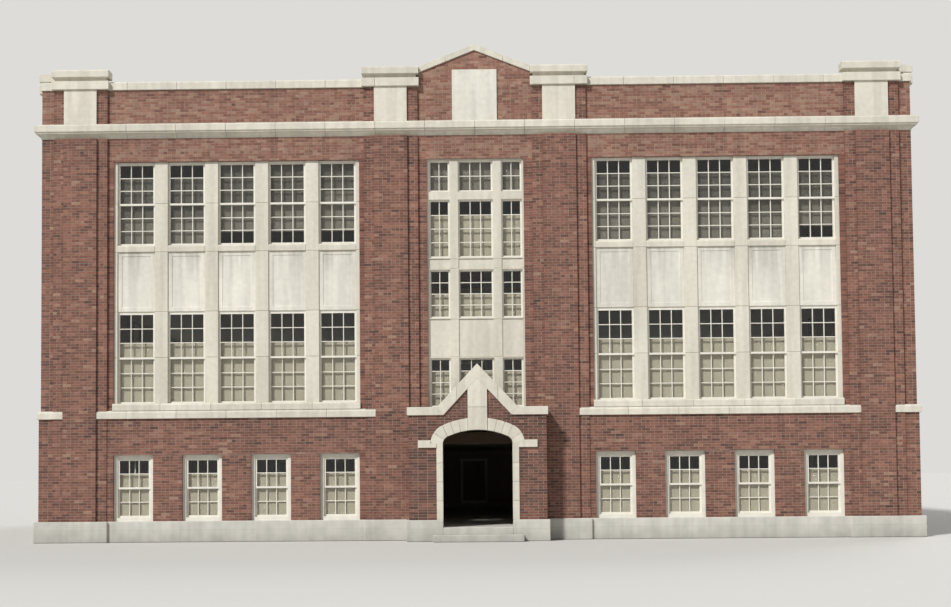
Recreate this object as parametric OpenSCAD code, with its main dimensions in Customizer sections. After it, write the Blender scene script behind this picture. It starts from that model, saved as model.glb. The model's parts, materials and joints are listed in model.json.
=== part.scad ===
// Two-storey brick school on a raised basement, with an arched and gabled entrance porch.
// Millimetres, +Z up. The origin is on the ground at the middle of the plan; the front faces -Y.
// Each face is drawn in its own frame: x runs along the face, the brick plane is y = 0,
// outdoors is -y, and the face is then turned and moved to its side of the building.

/* [Plan] */
// Width of the brick front
body_w = 21700; // [20800:100:23000]
// Depth of the building from front to rear
body_d = 18300; // [17400:100:20000]
// Thickness of the brick walls
wall_t = 360; // [300:10:420]

/* [Levels] */
// Top of the entrance and basement floor slab
ground_floor_z = 340; // [300:10:400]
// Top of the concrete foundation
foundation_z = 520; // [450:10:600]
// Head of the basement windows
basement_head_z = 2160; // [2000:10:2300]
// Underside of the belt course
belt_z = 3060; // [2950:10:3150]
// Underside of the first row of large windows, on top of their sills
first_sill_z = 3440; // [3400:10:3500]
// Head of the first-floor windows
first_head_z = 5740; // [5500:10:5900]
// Underside of the second-floor windows
second_sill_z = 7410; // [7250:10:7600]
// Head of the second-floor windows
second_head_z = 9500; // [9350:10:9600]
// Underside of the cornice
cornice_z = 10090; // [10000:10:10200]
// Top of the brick parapet
parapet_z = 11320; // [11200:10:11500]
// Top of the first floor
first_floor_z = 2750; // [2700:10:2850]
// Top of the second floor
second_floor_z = 6700; // [6500:10:6900]

/* [Floors] */
// Thickness of each floor
floor_t = 300; // [250:10:340]
// Thickness of the roof deck
roof_t = 280; // [200:10:300]
// Half width of the stair hall open through the floors
hall_half_w = 1700; // [1500:50:2000]
// Depth of the stair hall behind the front wall
hall_d = 3300; // [2500:100:4500]

/* [Masonry projections] */
// Foundation beyond the brick face
foundation_out = 70; // [50:5:80]
// Foundation under the corner piers beyond the brick face
footing_out = 145; // [130:5:180]
// Brick base wall beyond the brick face
base_out = 40; // [20:5:45]
// Narrow strips beside each pilaster beyond the brick face
strip_out = 60; // [50:5:70]
// Pilaster beyond the brick face
pilaster_out = 115; // [105:5:125]
// Belt course beyond the brick face
belt_out = 95; // [75:5:100]
// Cornice beyond the brick face
cornice_out = 165; // [150:5:220]
// Coping beyond the brick face
coping_out = 45; // [30:5:60]
// Cap beyond the pier that it covers
cap_out = 50; // [30:5:60]
// How far a cap runs back over the parapet
cap_back = 250; // [200:10:250]

/* [Pilasters] */
// Width of each pilaster
pilaster_w = 820; // [700:10:900]
// Width of the narrow strip on each side
strip_w = 260; // [200:10:280]
// From the corner of the building to the middle of the outer pilaster
corner_pilaster_x = 980; // [960:10:1050]
// From the middle of the front to the middle of the inner pilaster
inner_pilaster_x = 2100; // [2050:10:2150]

/* [Courses] */
// Height of the belt course
belt_h = 200; // [150:10:220]
// Height of the cornice
cornice_h = 350; // [330:10:400]
// Height of the cornice's flat upper band
fascia_h = 190; // [150:10:200]
// Radius of the cove under the band
cove_r = 115; // [80:5:115]
// Overhang of the band beyond the cove
band_drip = 30; // [20:5:40]
// Height of the parapet coping
coping_h = 210; // [150:10:230]
// Height of the stub that lifts each pier cap
cap_stub_h = 100; // [60:10:140]
// Height of each pier cap
cap_h = 190; // [140:10:220]
// Thickness of the parapet
parapet_t = 330; // [300:10:360]
// Open joint between stones of one course
joint = 4; // [3:1:8]

/* [Large windows] */
// Distance from one window to the next in a group
window_pitch = 1260; // [1200:10:1300]
// Width of the stone mullion between two windows
mullion_w = 330; // [280:10:360]
// Width of the stone jamb at each end of a group
jamb_w = 100; // [70:10:130]
// Windows in each large group
group_count = 5; // [5:1:5]
// Windows in each group of the side walls
side_count = 4; // [4:1:4]
// From the corner of the building to the first large group
corner_pier_w = 1790; // [1760:10:1850]
// Height of the frame head over a row of windows
head_h = 25; // [20:5:60]
// Window sills beyond the brick face
sill_out = 70; // [50:5:90]
// Height of the stone sills of the second-floor windows
upper_sill_h = 170; // [150:5:190]
// How far the second-floor sills stand back from the brick face
upper_sill_back = 40; // [30:5:50]
// Depth of the mullions
mullion_d = 200; // [170:10:210]
// How far the mullions stand back from the brick face
mullion_back = 50; // [40:5:60]
// How far the spandrels and window frames stand back from the mullions
panel_back = 60; // [40:5:70]
// Depth of the sunk field of a spandrel panel
field_sunk = 12; // [8:1:20]
// Margin round the sunk field of a spandrel panel
field_margin = 110; // [90:10:150]

/* [Sashes] */
// Width of a sash stile or rail
sash_w = 48; // [40:2:60]
// Depth of one sash
sash_d = 40; // [36:1:44]
// Thickness of the glass
glass_t = 6; // [4:1:8]

/* [Basement windows] */
// Width of a basement window with its box frame
basement_w = 1000; // [900:10:1050]
// Distance between basement windows
basement_pitch = 1710; // [1650:10:1750]
// Width of the box frame's face
box_w = 90; // [70:5:100]
// Depth of the box frame
box_d = 140; // [120:5:160]
// How far a basement box frame stands back from the base wall's face
box_back = 90; // [60:5:110]

/* [Stair window] */
// Half width of the stair window
stair_half_w = 1210; // [1180:10:1240]
// Width of its stone mullions
stair_mullion_w = 210; // [180:10:230]
// Half width of its middle light
stair_light_half_w = 434; // [410:2:450]
// Width of a stile or rail of its sashes
stair_sash_w = 42; // [36:2:48]
// Width of its outer stone jambs
stair_jamb_w = 50; // [40:5:60]
// Top of the lowest row of lights
stair_low_head_z = 4510; // [4450:10:4550]
// Underside of the second row of lights
stair_mid_sill_z = 5510; // [5480:10:5560]
// Top of the second row of lights
stair_mid_head_z = 6720; // [6650:10:6750]
// Underside of the third row of lights
stair_high_sill_z = 7020; // [6980:10:7060]
// Top of the third row of lights
stair_high_head_z = 8480; // [8430:10:8520]
// Underside of the top row of lights
stair_top_sill_z = 8680; // [8640:10:8720]

/* [Roof gable] */
// Half width of the gabled parapet over the entrance bay
gable_half_w = 1390; // [1360:10:1400]
// Height of the brick shoulders of the gable
gable_shoulder_z = 11680; // [11640:10:11760]
// Height of the brick apex of the gable
gable_apex_z = 12230; // [12150:10:12350]
// Thickness of the gable coping, measured upright
gable_coping_h = 155; // [130:5:180]
// Half width of the bare stone tablet
tablet_half_w = 560; // [500:10:600]
// Top of the bare stone tablet
tablet_z = 11740; // [11600:10:11780]
// Bare stone tablet beyond the brick of the gable
tablet_out = 40; // [20:5:60]

/* [Porch] */
// Half width of the porch
porch_half_w = 1670; // [1640:10:1680]
// Porch front beyond the brick face
porch_out = 720; // [600:10:900]
// Thickness of the porch walls
porch_t = 330; // [300:10:360]
// Half width of the arched opening
arch_half_w = 848; // [820:2:870]
// Height at which the arch springs
spring_z = 2360; // [2300:10:2400]
// Rise of the arch
arch_rise = 340; // [320:5:370]
// Radius of the arch's tight haunches
haunch_r = 200; // [180:5:230]
// Depth of the arch ring on the face
ring_w = 296; // [280:4:310]
// Width of the jamb stones
jamb_stone_w = 155; // [140:5:170]
// Arch stones between the keystone and each haunch
crown_stones = 3; // [2:1:4]
// Arch stones round each haunch
haunch_stones = 2; // [2:1:3]
// Arch stones and jambs beyond the porch brick
ring_out = 25; // [20:5:30]
// Half width of the keystone at the crown
key_half_w = 236; // [220:4:250]
// Height where the gable slope meets the porch shoulders, over the belt's underside
shoulder_h = 200; // [180:10:210]
// From the middle to where the slope meets the shoulder
slope_foot_x = 980; // [960:10:1020]
// Top of the porch gable
porch_apex_z = 4310; // [4250:10:4350]
// Thickness of the porch coping, measured upright on the slope
rake_h = 360; // [340:10:370]
// Copings, arch stones and imposts beyond the porch brick
trim_out = 45; // [35:5:60]
// Underside of the imposts
impost_z = 2270; // [2240:5:2290]
// Height of the imposts
impost_h = 180; // [160:5:190]
// From the corner of the porch to the outer end of an impost
impost_inset = 220; // [190:10:250]
// Height of the door opening through the front wall
door_z = 2740; // [2700:10:2800]
// Half width of the door opening through the front wall
door_half_w = 900; // [880:10:940]
// Depth of the entrance step
step_d = 340; // [300:10:400]
// Half width of the entrance step
step_half_w = 1100; // [950:10:1200]
// Thickness of the porch's flat roof
porch_roof_t = 150; // [100:10:160]

/* [Hidden] */
$fn = 64;
eps = 1;

brick = "#7d564a";
stone = "#d3cdbd";
concrete = "#c9c6bd";
paint = "#e6e3d8";
glass = "#5e6a70";
plaster = "#b9b4a8";

half_w = body_w / 2;
half_d = body_d / 2;
group_w = window_pitch * group_count - mullion_w + 2 * jamb_w;
side_group_w = window_pitch * side_count - mullion_w + 2 * jamb_w;
light_w = window_pitch - mullion_w;
front_group_x = half_w - corner_pier_w - group_w / 2;
side_group_x = half_d - corner_pier_w - side_group_w / 2;
pier_half_w = pilaster_w / 2 + strip_w;
basement_h = basement_head_z - foundation_z;
basement_light_w = basement_w - 2 * box_w;
basement_light_h = basement_h - 2 * box_w;
sash_inset = 30;
stair_rail_h = 30;
stair_field_sunk = 25;
spandrel_back = 30;
footing_margin = 40;
stub_in = 30;
weathering = 50;
belt_weathering = 50;
belt_top_z = belt_z + belt_h;
cornice_top_z = cornice_z + cornice_h;
coping_top_z = parapet_z + coping_h;
cap_z = coping_top_z + cap_stub_h;
cap_top_z = cap_z + cap_h;
porch_shoulder_z = belt_z + shoulder_h;
impost_x = porch_half_w - impost_inset;
sash_back = mullion_back + panel_back;
upper_sill_z = second_sill_z - upper_sill_h;
arch_r = (pow(arch_half_w - haunch_r, 2) + pow(arch_rise, 2) - pow(haunch_r, 2))
    / (2 * (arch_rise - haunch_r));
arch_centre_z = spring_z + arch_rise - arch_r;
porch_y = -porch_out;
cheek_y = porch_y + porch_t;
front_pilasters = [-half_w + corner_pilaster_x, -inner_pilaster_x,
    inner_pilaster_x, half_w - corner_pilaster_x];
side_pilasters = [-half_d + corner_pilaster_x, half_d - corner_pilaster_x];
front_groups = [[-front_group_x, group_count], [front_group_x, group_count]];
rear_groups = [[-front_group_x, group_count], [0, 1], [front_group_x, group_count]];
side_groups = [[-side_group_x, side_count], [0, 1], [side_group_x, side_count]];
slope = (porch_apex_z - belt_z - shoulder_h) / slope_foot_x;
gable_brick_x = slope_foot_x - (rake_h - shoulder_h) / slope;

function group_width(count) = window_pitch * count - mullion_w + 2 * jamb_w;
function window_x(group, i) = group[0] + (i - (group[1] - 1) / 2) * window_pitch;
function basement_xs(group) = group[1] == 1
    ? [group[0]]
    : [for (i = [0 : group[1] - 2]) group[0] + (i - (group[1] - 2) / 2) * basement_pitch];

// The four faces of the building
module at_front() { translate([0, -half_d, 0]) children(); }
module at_rear() { translate([0, half_d, 0]) rotate([0, 0, 180]) children(); }
module at_left() { translate([-half_w, 0, 0]) rotate([0, 0, -90]) children(); }
module at_right() { translate([half_w, 0, 0]) rotate([0, 0, 90]) children(); }
module at_both_ends() { at_front() children(); at_rear() children(); }
module at_both_sides() { at_left() children(); at_right() children(); }

// A block from x0 to x1 and z0 to z1, standing out before the face and running back behind it
module block(x0, x1, out, back, z0, z1) {
    translate([x0, -out, z0]) cube([x1 - x0, out + back, z1 - z0]);
}

// Elevation outline, drawn as x and z, made a plate that stands out and runs back
module plate(out, back) {
    translate([0, back, 0]) rotate([90, 0, 0]) linear_extrude(out + back) children();
}

// A moulded course along a face: its section is drawn as (out, z), with both ends mitred
module mitred_course(half_len, out, back) {
    end_x = half_len + out - joint / 2;
    inner_x = half_len - back - joint / 2;
    intersection() {
        translate([-half_len - out, 0, 0]) rotate([90, 0, 90]) linear_extrude(2 * (half_len + out))
            mirror([1, 0]) children();
        linear_extrude(cap_top_z)
            polygon([[-end_x, -out], [end_x, -out], [inner_x, back], [-inner_x, back]]);
    }
}

// Section of the cornice: a cove under a flat band with a weathered top edge
module cornice_section() {
    bed_x = cornice_out - band_drip;
    difference() {
        translate([-wall_t, cornice_z]) square([wall_t + cornice_out, cornice_h]);
        translate([bed_x, cornice_z - eps]) square([band_drip + eps, cornice_h - fascia_h + eps]);
        translate([bed_x, cornice_z]) circle(cove_r);
        translate([cornice_out, cornice_top_z]) rotate(45) square(weathering, center = true);
    }
}

// Section of the parapet coping: a slab with both top edges weathered
module coping_section() {
    difference() {
        translate([-parapet_t - coping_out, parapet_z]) square([parapet_t + 2 * coping_out, coping_h]);
        for (x = [coping_out, -parapet_t - coping_out])
            translate([x, coping_top_z]) rotate(45) square(weathering, center = true);
    }
}

// Plan of a pilaster with its strips
module pilaster_plan(out, strips) {
    translate([-pilaster_w / 2, -out]) square([pilaster_w, out]);
    if (strips) translate([-pier_half_w, -strip_out]) square([2 * pier_half_w, strip_out]);
}

module ground_slab() color(concrete)
    translate([-half_w + wall_t, -half_d + wall_t, 0])
        cube([body_w - 2 * wall_t, body_d - 2 * wall_t, ground_floor_z]);

// Floors behind the stair hall, from wall to wall
module rear_floors() color(plaster)
    for (z = [first_floor_z, second_floor_z])
        translate([-half_w + wall_t, -half_d + wall_t + hall_d, z - floor_t])
            cube([body_w - 2 * wall_t, body_d - 2 * wall_t - hall_d, floor_t]);

// Floors of the front rooms, one on each side of the stair hall
module front_floors() color(plaster)
    for (z = [first_floor_z, second_floor_z], side = [0, 1])
        mirror([side, 0, 0]) translate([hall_half_w, -half_d + wall_t, z - floor_t])
            cube([half_w - wall_t - hall_half_w, hall_d, floor_t]);

module roof_slab() color(concrete)
    translate([-half_w + wall_t, -half_d + wall_t, cornice_top_z - roof_t])
        cube([body_w - 2 * wall_t, body_d - 2 * wall_t, roof_t]);

// Foundation of one face: flush from x0, proud from proud_x, more so under the piers
module face_foundation(x0, proud_x, x1, half_len, inner_foot) {
    foot_x = half_len - corner_pilaster_x - pier_half_w - footing_margin;
    block(x0, x1, 0, wall_t, 0, foundation_z);
    block(proud_x, x1, foundation_out, 0, 0, foundation_z);
    block(foot_x, x1, footing_out, 0, 0, foundation_z);
    if (inner_foot > 0) block(proud_x, inner_foot, footing_out, 0, 0, foundation_z);
}

// Concrete foundation: the front in two halves beside the porch, the others one wall each
module foundation_walls() color(concrete) {
    inner_foot = inner_pilaster_x + pier_half_w + footing_margin;
    end_x = half_w + footing_out;
    at_front() for (side = [0, 1]) mirror([side, 0, 0]) {
        face_foundation(door_half_w, porch_half_w + foundation_out, end_x, half_w, inner_foot);
        block(half_w, end_x, footing_out, wall_t, 0, foundation_z);
    }
    at_rear() for (side = [0, 1]) mirror([side, 0, 0])
        face_foundation(0, 0, end_x, half_w, inner_foot);
    at_both_sides() for (side = [0, 1]) mirror([side, 0, 0])
        face_foundation(0, 0, half_d - wall_t - joint, half_d, 0);
}

// Foundation under the front piers and side walls of the porch
module porch_foundations() color(concrete) at_front() for (side = [0, 1]) mirror([side, 0, 0]) {
    block(arch_half_w, porch_half_w + foundation_out, porch_out + foundation_out, cheek_y,
        0, foundation_z);
    block(porch_half_w - porch_t, porch_half_w + foundation_out, porch_out, 0, 0, foundation_z);
}

// Hole for one basement window
module basement_hole(x) {
    block(x - basement_w / 2, x + basement_w / 2, base_out + eps, wall_t + eps,
        foundation_z - eps, basement_head_z);
}

// Brick wall of the basement storey with its windows cut through. It stands proud, as a plinth,
// from plinth_x and up to the belt.
module base_wall(x0, plinth_x, x1, end_out, xs) {
    difference() {
        union() {
            block(plinth_x, x1 + end_out, base_out, wall_t, foundation_z, belt_z);
            block(x0, x1, 0, wall_t, foundation_z, belt_top_z);
        }
        for (x = xs) basement_hole(x);
    }
}

module front_and_rear_base_walls() color(brick) {
    at_front() for (side = [0, 1]) mirror([side, 0, 0])
        base_wall(door_half_w, porch_half_w - porch_t, half_w, base_out,
            basement_xs([front_group_x, group_count]));
    at_rear() difference() {
        union() for (side = [0, 1]) mirror([side, 0, 0]) base_wall(0, 0, half_w, base_out, []);
        for (g = rear_groups, x = basement_xs(g)) basement_hole(x);
    }
}

module side_base_walls() color(brick) at_both_sides() {
    run = half_d - wall_t;
    base_wall(-run, -run, run, 0, [for (g = side_groups, x = basement_xs(g)) x]);
}

// Brick piers between the groups of large windows
module piers(run, groups) {
    edges = concat([-run],
        [for (g = groups, side = [-1, 1]) g[0] + side * group_width(g[1]) / 2], [run]);
    for (i = [0 : 2 : len(edges) - 2])
        block(edges[i], edges[i + 1], 0, wall_t, belt_top_z, second_head_z);
}

module front_and_rear_piers() color(brick) {
    at_front() for (side = [0, 1]) mirror([side, 0, 0]) {
        block(front_group_x + group_w / 2, half_w, 0, wall_t, belt_top_z, second_head_z);
        block(stair_half_w, front_group_x - group_w / 2, 0, wall_t, belt_top_z, second_head_z);
    }
    at_rear() piers(half_w, rear_groups);
}

module side_piers() color(brick) at_both_sides() piers(half_d - wall_t, side_groups);

module front_and_rear_friezes() color(brick) at_both_ends()
    block(-half_w, half_w, 0, wall_t, second_head_z, cornice_z);

module side_friezes() color(brick) at_both_sides()
    block(-half_d + wall_t, half_d - wall_t, 0, wall_t, second_head_z, cornice_z);

// The pilasters stand on the foundation, stop under the cornice and fit round the base wall
module pilaster_shaft() {
    difference() {
        translate([0, 0, foundation_z]) linear_extrude(cornice_z - foundation_z)
            pilaster_plan(pilaster_out, true);
        translate([-pier_half_w - eps, -base_out, foundation_z - eps])
            cube([2 * (pier_half_w + eps), base_out + eps, belt_z - foundation_z + eps]);
    }
}

module pilasters() color(brick) {
    at_front() difference() {
        for (x = front_pilasters) translate([x, 0, 0]) pilaster_shaft();
        block(-porch_half_w, porch_half_w, porch_out, eps, foundation_z - eps, belt_z);
        block(-porch_half_w - trim_out, porch_half_w + trim_out, porch_out, eps,
            belt_z - eps, porch_shoulder_z);
    }
    at_rear() for (x = front_pilasters) translate([x, 0, 0]) pilaster_shaft();
    at_both_sides() for (x = side_pilasters) translate([x, 0, 0]) pilaster_shaft();
}

// Section of the belt course: a slab with a weathered top
module belt_section() {
    polygon([[0, belt_z], [belt_out, belt_z], [belt_out, belt_top_z - belt_weathering],
        [belt_out - belt_weathering, belt_top_z], [0, belt_top_z]]);
}

// The belt runs from corner to corner, fitted round the pilasters and mitred at its ends
module belt_run(half_len, xs, clear) {
    difference() {
        translate([-half_len - belt_out, 0, 0]) rotate([90, 0, 90])
            linear_extrude(2 * (half_len + belt_out)) mirror([1, 0]) belt_section();
        translate([0, 0, belt_z - eps]) linear_extrude(belt_h + 2 * eps) {
            for (x = xs) translate([x, 0]) {
                translate([-pilaster_w / 2, -belt_out - eps]) square([pilaster_w, belt_out + 2 * eps]);
                translate([-pier_half_w, -strip_out]) square([2 * pier_half_w, strip_out + eps]);
            }
            if (clear > 0) translate([-clear, -belt_out - eps]) square([2 * clear, belt_out + 2 * eps]);
            for (side = [0, 1]) mirror([side, 0])
                polygon([[half_len - eps, eps], [half_len + belt_out + eps, -belt_out - eps],
                    [half_len + belt_out + eps, eps]]);
        }
    }
}

module belt_course() color(stone) {
    at_front() belt_run(half_w, front_pilasters, inner_pilaster_x);
    at_rear() belt_run(half_w, front_pilasters, 0);
    at_both_sides() belt_run(half_d, side_pilasters, 0);
}

module cornice() color(stone) {
    at_both_ends() mitred_course(half_w, cornice_out, wall_t) cornice_section();
    at_both_sides() mitred_course(half_d, cornice_out, wall_t) cornice_section();
}

// Parapet piers continue the strips of the pilasters
module parapet_piers(xs) {
    for (x = xs) translate([x, 0, cornice_top_z]) linear_extrude(parapet_z - cornice_top_z)
        translate([-pier_half_w, -strip_out]) square([2 * pier_half_w, strip_out + eps]);
}

// Brick parapet of one face, with room in its piers for the stone blocks
module parapet(run, xs) {
    difference() {
        union() {
            block(-run, run, 0, parapet_t, cornice_top_z, parapet_z);
            parapet_piers(xs);
        }
        for (x = xs)
            block(x - pilaster_w / 2, x + pilaster_w / 2, pilaster_out, 0,
                cornice_top_z - eps, parapet_z + eps);
    }
}

module front_and_rear_parapets() color(brick) {
    at_front() difference() {
        parapet(half_w, front_pilasters);
        block(-gable_half_w, gable_half_w, strip_out + eps, parapet_t + eps,
            cornice_top_z - eps, parapet_z + eps);
    }
    at_rear() parapet(half_w, front_pilasters);
}

module side_parapets() color(brick) at_both_sides() parapet(half_d - parapet_t, side_pilasters);

// Stone blocks set in the parapet piers, in line with the pilasters below
module blocks_at(xs) {
    for (x = xs)
        block(x - pilaster_w / 2, x + pilaster_w / 2, pilaster_out, 0, cornice_top_z, parapet_z);
}

module pier_blocks() color(stone) {
    at_both_ends() blocks_at(front_pilasters);
    at_both_sides() blocks_at(side_pilasters);
}

// The coping breaks forward over each pier
module coping_breaks(xs) {
    for (x = xs)
        block(x - pier_half_w - cap_out, x + pier_half_w + cap_out, pilaster_out + coping_out,
            0, parapet_z, coping_top_z);
}

module parapet_coping() color(stone) {
    at_front() difference() {
        union() {
            mitred_course(half_w, coping_out, parapet_t + coping_out) coping_section();
            coping_breaks(front_pilasters);
        }
        block(-gable_half_w, gable_half_w, cornice_out + coping_out, parapet_t + coping_out + eps,
            parapet_z - eps, coping_top_z + eps);
    }
    at_rear() {
        mitred_course(half_w, coping_out, parapet_t + coping_out) coping_section();
        coping_breaks(front_pilasters);
    }
    at_both_sides() {
        mitred_course(half_d, coping_out, parapet_t + coping_out) coping_section();
        coping_breaks(side_pilasters);
    }
}

// Raised caps over the piers, each on a low stub
module cap_on_stub(x) {
    translate([x, 0, 0]) {
        block(-pier_half_w + stub_in, pier_half_w - stub_in, pilaster_out - stub_in, cap_back - stub_in,
            coping_top_z, cap_z);
        difference() {
            block(-pier_half_w - cap_out, pier_half_w + cap_out, pilaster_out + cap_out, cap_back,
                cap_z, cap_top_z);
            translate([0, -pilaster_out - cap_out, cap_top_z]) rotate([45, 0, 0])
                cube([2 * (pier_half_w + cap_out + eps), weathering, weathering], center = true);
        }
    }
}

module pier_caps() color(stone) {
    at_front() difference() {
        for (x = front_pilasters) cap_on_stub(x);
        block(-gable_half_w - joint, gable_half_w + joint, cornice_out + cap_out,
            parapet_t + cap_out + eps, coping_top_z - eps, cap_top_z + eps);
    }
    at_rear() for (x = front_pilasters) cap_on_stub(x);
    at_both_sides() for (x = side_pilasters) cap_on_stub(x);
}

module gable_outline(rise) {
    polygon([
        [-gable_half_w, cornice_top_z], [gable_half_w, cornice_top_z],
        [gable_half_w, gable_shoulder_z + rise], [0, gable_apex_z + rise],
        [-gable_half_w, gable_shoulder_z + rise]
    ]);
}

module gable_wall() color(brick) at_front() plate(0, parapet_t) gable_outline(0);

module gable_coping() color(stone) at_front()
    plate(coping_out, parapet_t + coping_out) difference() {
        gable_outline(gable_coping_h);
        gable_outline(0);
    }

// The stone tablet is left bare
module gable_tablet() color(stone) at_front()
    block(-tablet_half_w, tablet_half_w, tablet_out, 0, cornice_top_z, tablet_z);

// Large windows: one group of lights with stone sill, mullions, heads and spandrels
module for_each_group() {
    at_front() for (g = front_groups) { $group = g; children(); }
    at_rear() for (g = rear_groups) { $group = g; children(); }
    at_both_sides() for (g = side_groups) { $group = g; children(); }
}

// A sill's front edge is cut to a slope that sheds the rain
module sill(x, w, out, back_y, z0, z1) {
    difference() {
        block(x - w / 2, x + w / 2, out, back_y, z0, z1);
        translate([x, -out, z1]) rotate([45, 0, 0])
            cube([w + 2 * eps, weathering, weathering], center = true);
    }
}

// One long sill under each group, and one under each second-floor window
module window_sills() color(stone) for_each_group() {
    sill($group[0], group_width($group[1]), sill_out, wall_t, belt_top_z, first_sill_z);
    for (i = [0 : $group[1] - 1])
        sill(window_x($group, i), light_w, -upper_sill_back, mullion_back + mullion_d,
            upper_sill_z, second_sill_z);
}

module window_mullions() color(stone) for_each_group() {
    w = group_width($group[1]);
    for (side = [0, 1]) translate([$group[0], 0, 0]) mirror([side, 0, 0])
        block(w / 2 - jamb_w, w / 2, -mullion_back, mullion_back + mullion_d, first_sill_z, second_head_z);
    if ($group[1] > 1)
        for (i = [0 : $group[1] - 2]) {
            x = window_x($group, i) + window_pitch / 2;
            block(x - mullion_w / 2, x + mullion_w / 2, -mullion_back, mullion_back + mullion_d,
                first_sill_z, second_head_z);
        }
}

// Spandrel panels between the two rows of windows, each with a sunk field
module spandrel_panels() color(stone) for_each_group()
    for (i = [0 : $group[1] - 1]) {
        x = window_x($group, i);
        difference() {
            block(x - light_w / 2, x + light_w / 2, -sash_back + spandrel_back, mullion_back + mullion_d,
                first_head_z, upper_sill_z);
            block(x - light_w / 2 + field_margin, x + light_w / 2 - field_margin,
                0, sash_back - spandrel_back + field_sunk,
                first_head_z + field_margin, upper_sill_z - field_margin);
        }
    }

// A pair of sliding sashes: the upper one stands in front of the lower
module sash_frame(w, h, y) {
    translate([-w / 2, y, 0]) difference() {
        cube([w, sash_d, h]);
        translate([sash_w, -eps, sash_w]) cube([w - 2 * sash_w, sash_d + 2 * eps, h - 2 * sash_w]);
    }
}

module sash_pair(w, h) {
    leaf_h = (h + sash_w) / 2;
    translate([0, 0, h - leaf_h]) sash_frame(w, leaf_h, 0);
    sash_frame(w, leaf_h, sash_d);
}

module sash_glass(w, h) {
    leaf_h = (h + sash_w) / 2;
    for (lower = [0, 1])
        translate([-w / 2 + sash_w, sash_d * lower + (sash_d - glass_t) / 2,
            (h - leaf_h) * (1 - lower) + sash_w])
            cube([w - 2 * sash_w, glass_t, leaf_h - 2 * sash_w]);
}

module for_each_large_window(z) {
    for_each_group() for (i = [0 : $group[1] - 1])
        translate([window_x($group, i), sash_back, z]) children();
}

module for_each_basement_window() {
    y = box_back - base_out;
    at_front() for (g = front_groups, x = basement_xs(g)) translate([x, y, foundation_z]) children();
    at_rear() for (g = rear_groups, x = basement_xs(g)) translate([x, y, foundation_z]) children();
    at_both_sides() for (g = side_groups, x = basement_xs(g)) translate([x, y, foundation_z]) children();
}

module basement_sashes() color(paint) for_each_basement_window() {
    difference() {
        translate([-basement_w / 2, 0, 0]) cube([basement_w, box_d, basement_h]);
        translate([-basement_light_w / 2, -eps, box_w])
            cube([basement_light_w, box_d + 2 * eps, basement_light_h]);
    }
    translate([0, sash_inset, box_w]) sash_pair(basement_light_w, basement_light_h);
}

// Sashes of a large window under the head of their frame
module headed_sashes(sill_z, head_z) {
    for_each_large_window(sill_z) {
        sash_pair(light_w, head_z - head_h - sill_z);
        translate([-light_w / 2, 0, head_z - head_h - sill_z]) cube([light_w, 2 * sash_d, head_h]);
    }
}

module first_floor_sashes() color(paint) headed_sashes(first_sill_z, first_head_z);
module second_floor_sashes() color(paint) headed_sashes(second_sill_z, second_head_z);

module basement_glass() color(glass) for_each_basement_window()
    translate([0, sash_inset, box_w]) sash_glass(basement_light_w, basement_light_h);

module first_floor_glass() color(glass) for_each_large_window(first_sill_z)
    sash_glass(light_w, first_head_z - head_h - first_sill_z);

module second_floor_glass() color(glass) for_each_large_window(second_sill_z)
    sash_glass(light_w, second_head_z - head_h - second_sill_z);

// The stair window: three lights wide, in four rows with a panelled spandrel
stair_rows = [
    [belt_top_z + stair_rail_h, stair_low_head_z],
    [stair_mid_sill_z, stair_mid_head_z],
    [stair_high_sill_z, stair_high_head_z],
    [stair_top_sill_z, second_head_z - stair_rail_h]
];
stair_lights = [
    [-stair_half_w + stair_jamb_w, -stair_light_half_w - stair_mullion_w],
    [-stair_light_half_w, stair_light_half_w],
    [stair_light_half_w + stair_mullion_w, stair_half_w - stair_jamb_w]
];

module stair_window_frame() color(stone) at_front() {
    front_y = mullion_back;
    back_y = mullion_back + mullion_d;
    difference() {
        block(-stair_half_w, stair_half_w, -front_y, back_y, belt_top_z, second_head_z);
        for (row = stair_rows, light = stair_lights)
            block(light[0], light[1], 0, back_y + eps, row[0], row[1]);
        for (light = stair_lights) {
            block(light[0], light[1], 0, front_y + stair_field_sunk,
                stair_low_head_z + stair_rail_h, stair_mid_sill_z - stair_rail_h);
            block(light[0], light[1], 0, front_y + stair_field_sunk,
                stair_mid_head_z + stair_rail_h, stair_high_sill_z - stair_rail_h);
        }
    }
}

// The clear opening of one light inside its sash, between two depths
module stair_pane(light, row, front_y, back_y)
    block(light[0] + stair_sash_w, light[1] - stair_sash_w, -front_y, back_y,
        row[0] + stair_sash_w, row[1] - stair_sash_w);

module stair_window_sashes() color(paint) at_front()
    for (row = stair_rows, light = stair_lights)
        difference() {
            block(light[0], light[1], -sash_back, sash_back + sash_d, row[0], row[1]);
            stair_pane(light, row, mullion_back, wall_t);
        }

module stair_window_glass() color(glass) at_front() {
    glass_back = sash_back + (sash_d - glass_t) / 2;
    for (row = stair_rows, light = stair_lights)
        stair_pane(light, row, glass_back, glass_back + glass_t);
}

// Wall over the door opening, under the stair window
module door_head_wall() color(brick) at_front()
    block(-door_half_w, door_half_w, 0, wall_t, door_z, belt_top_z);

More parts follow.
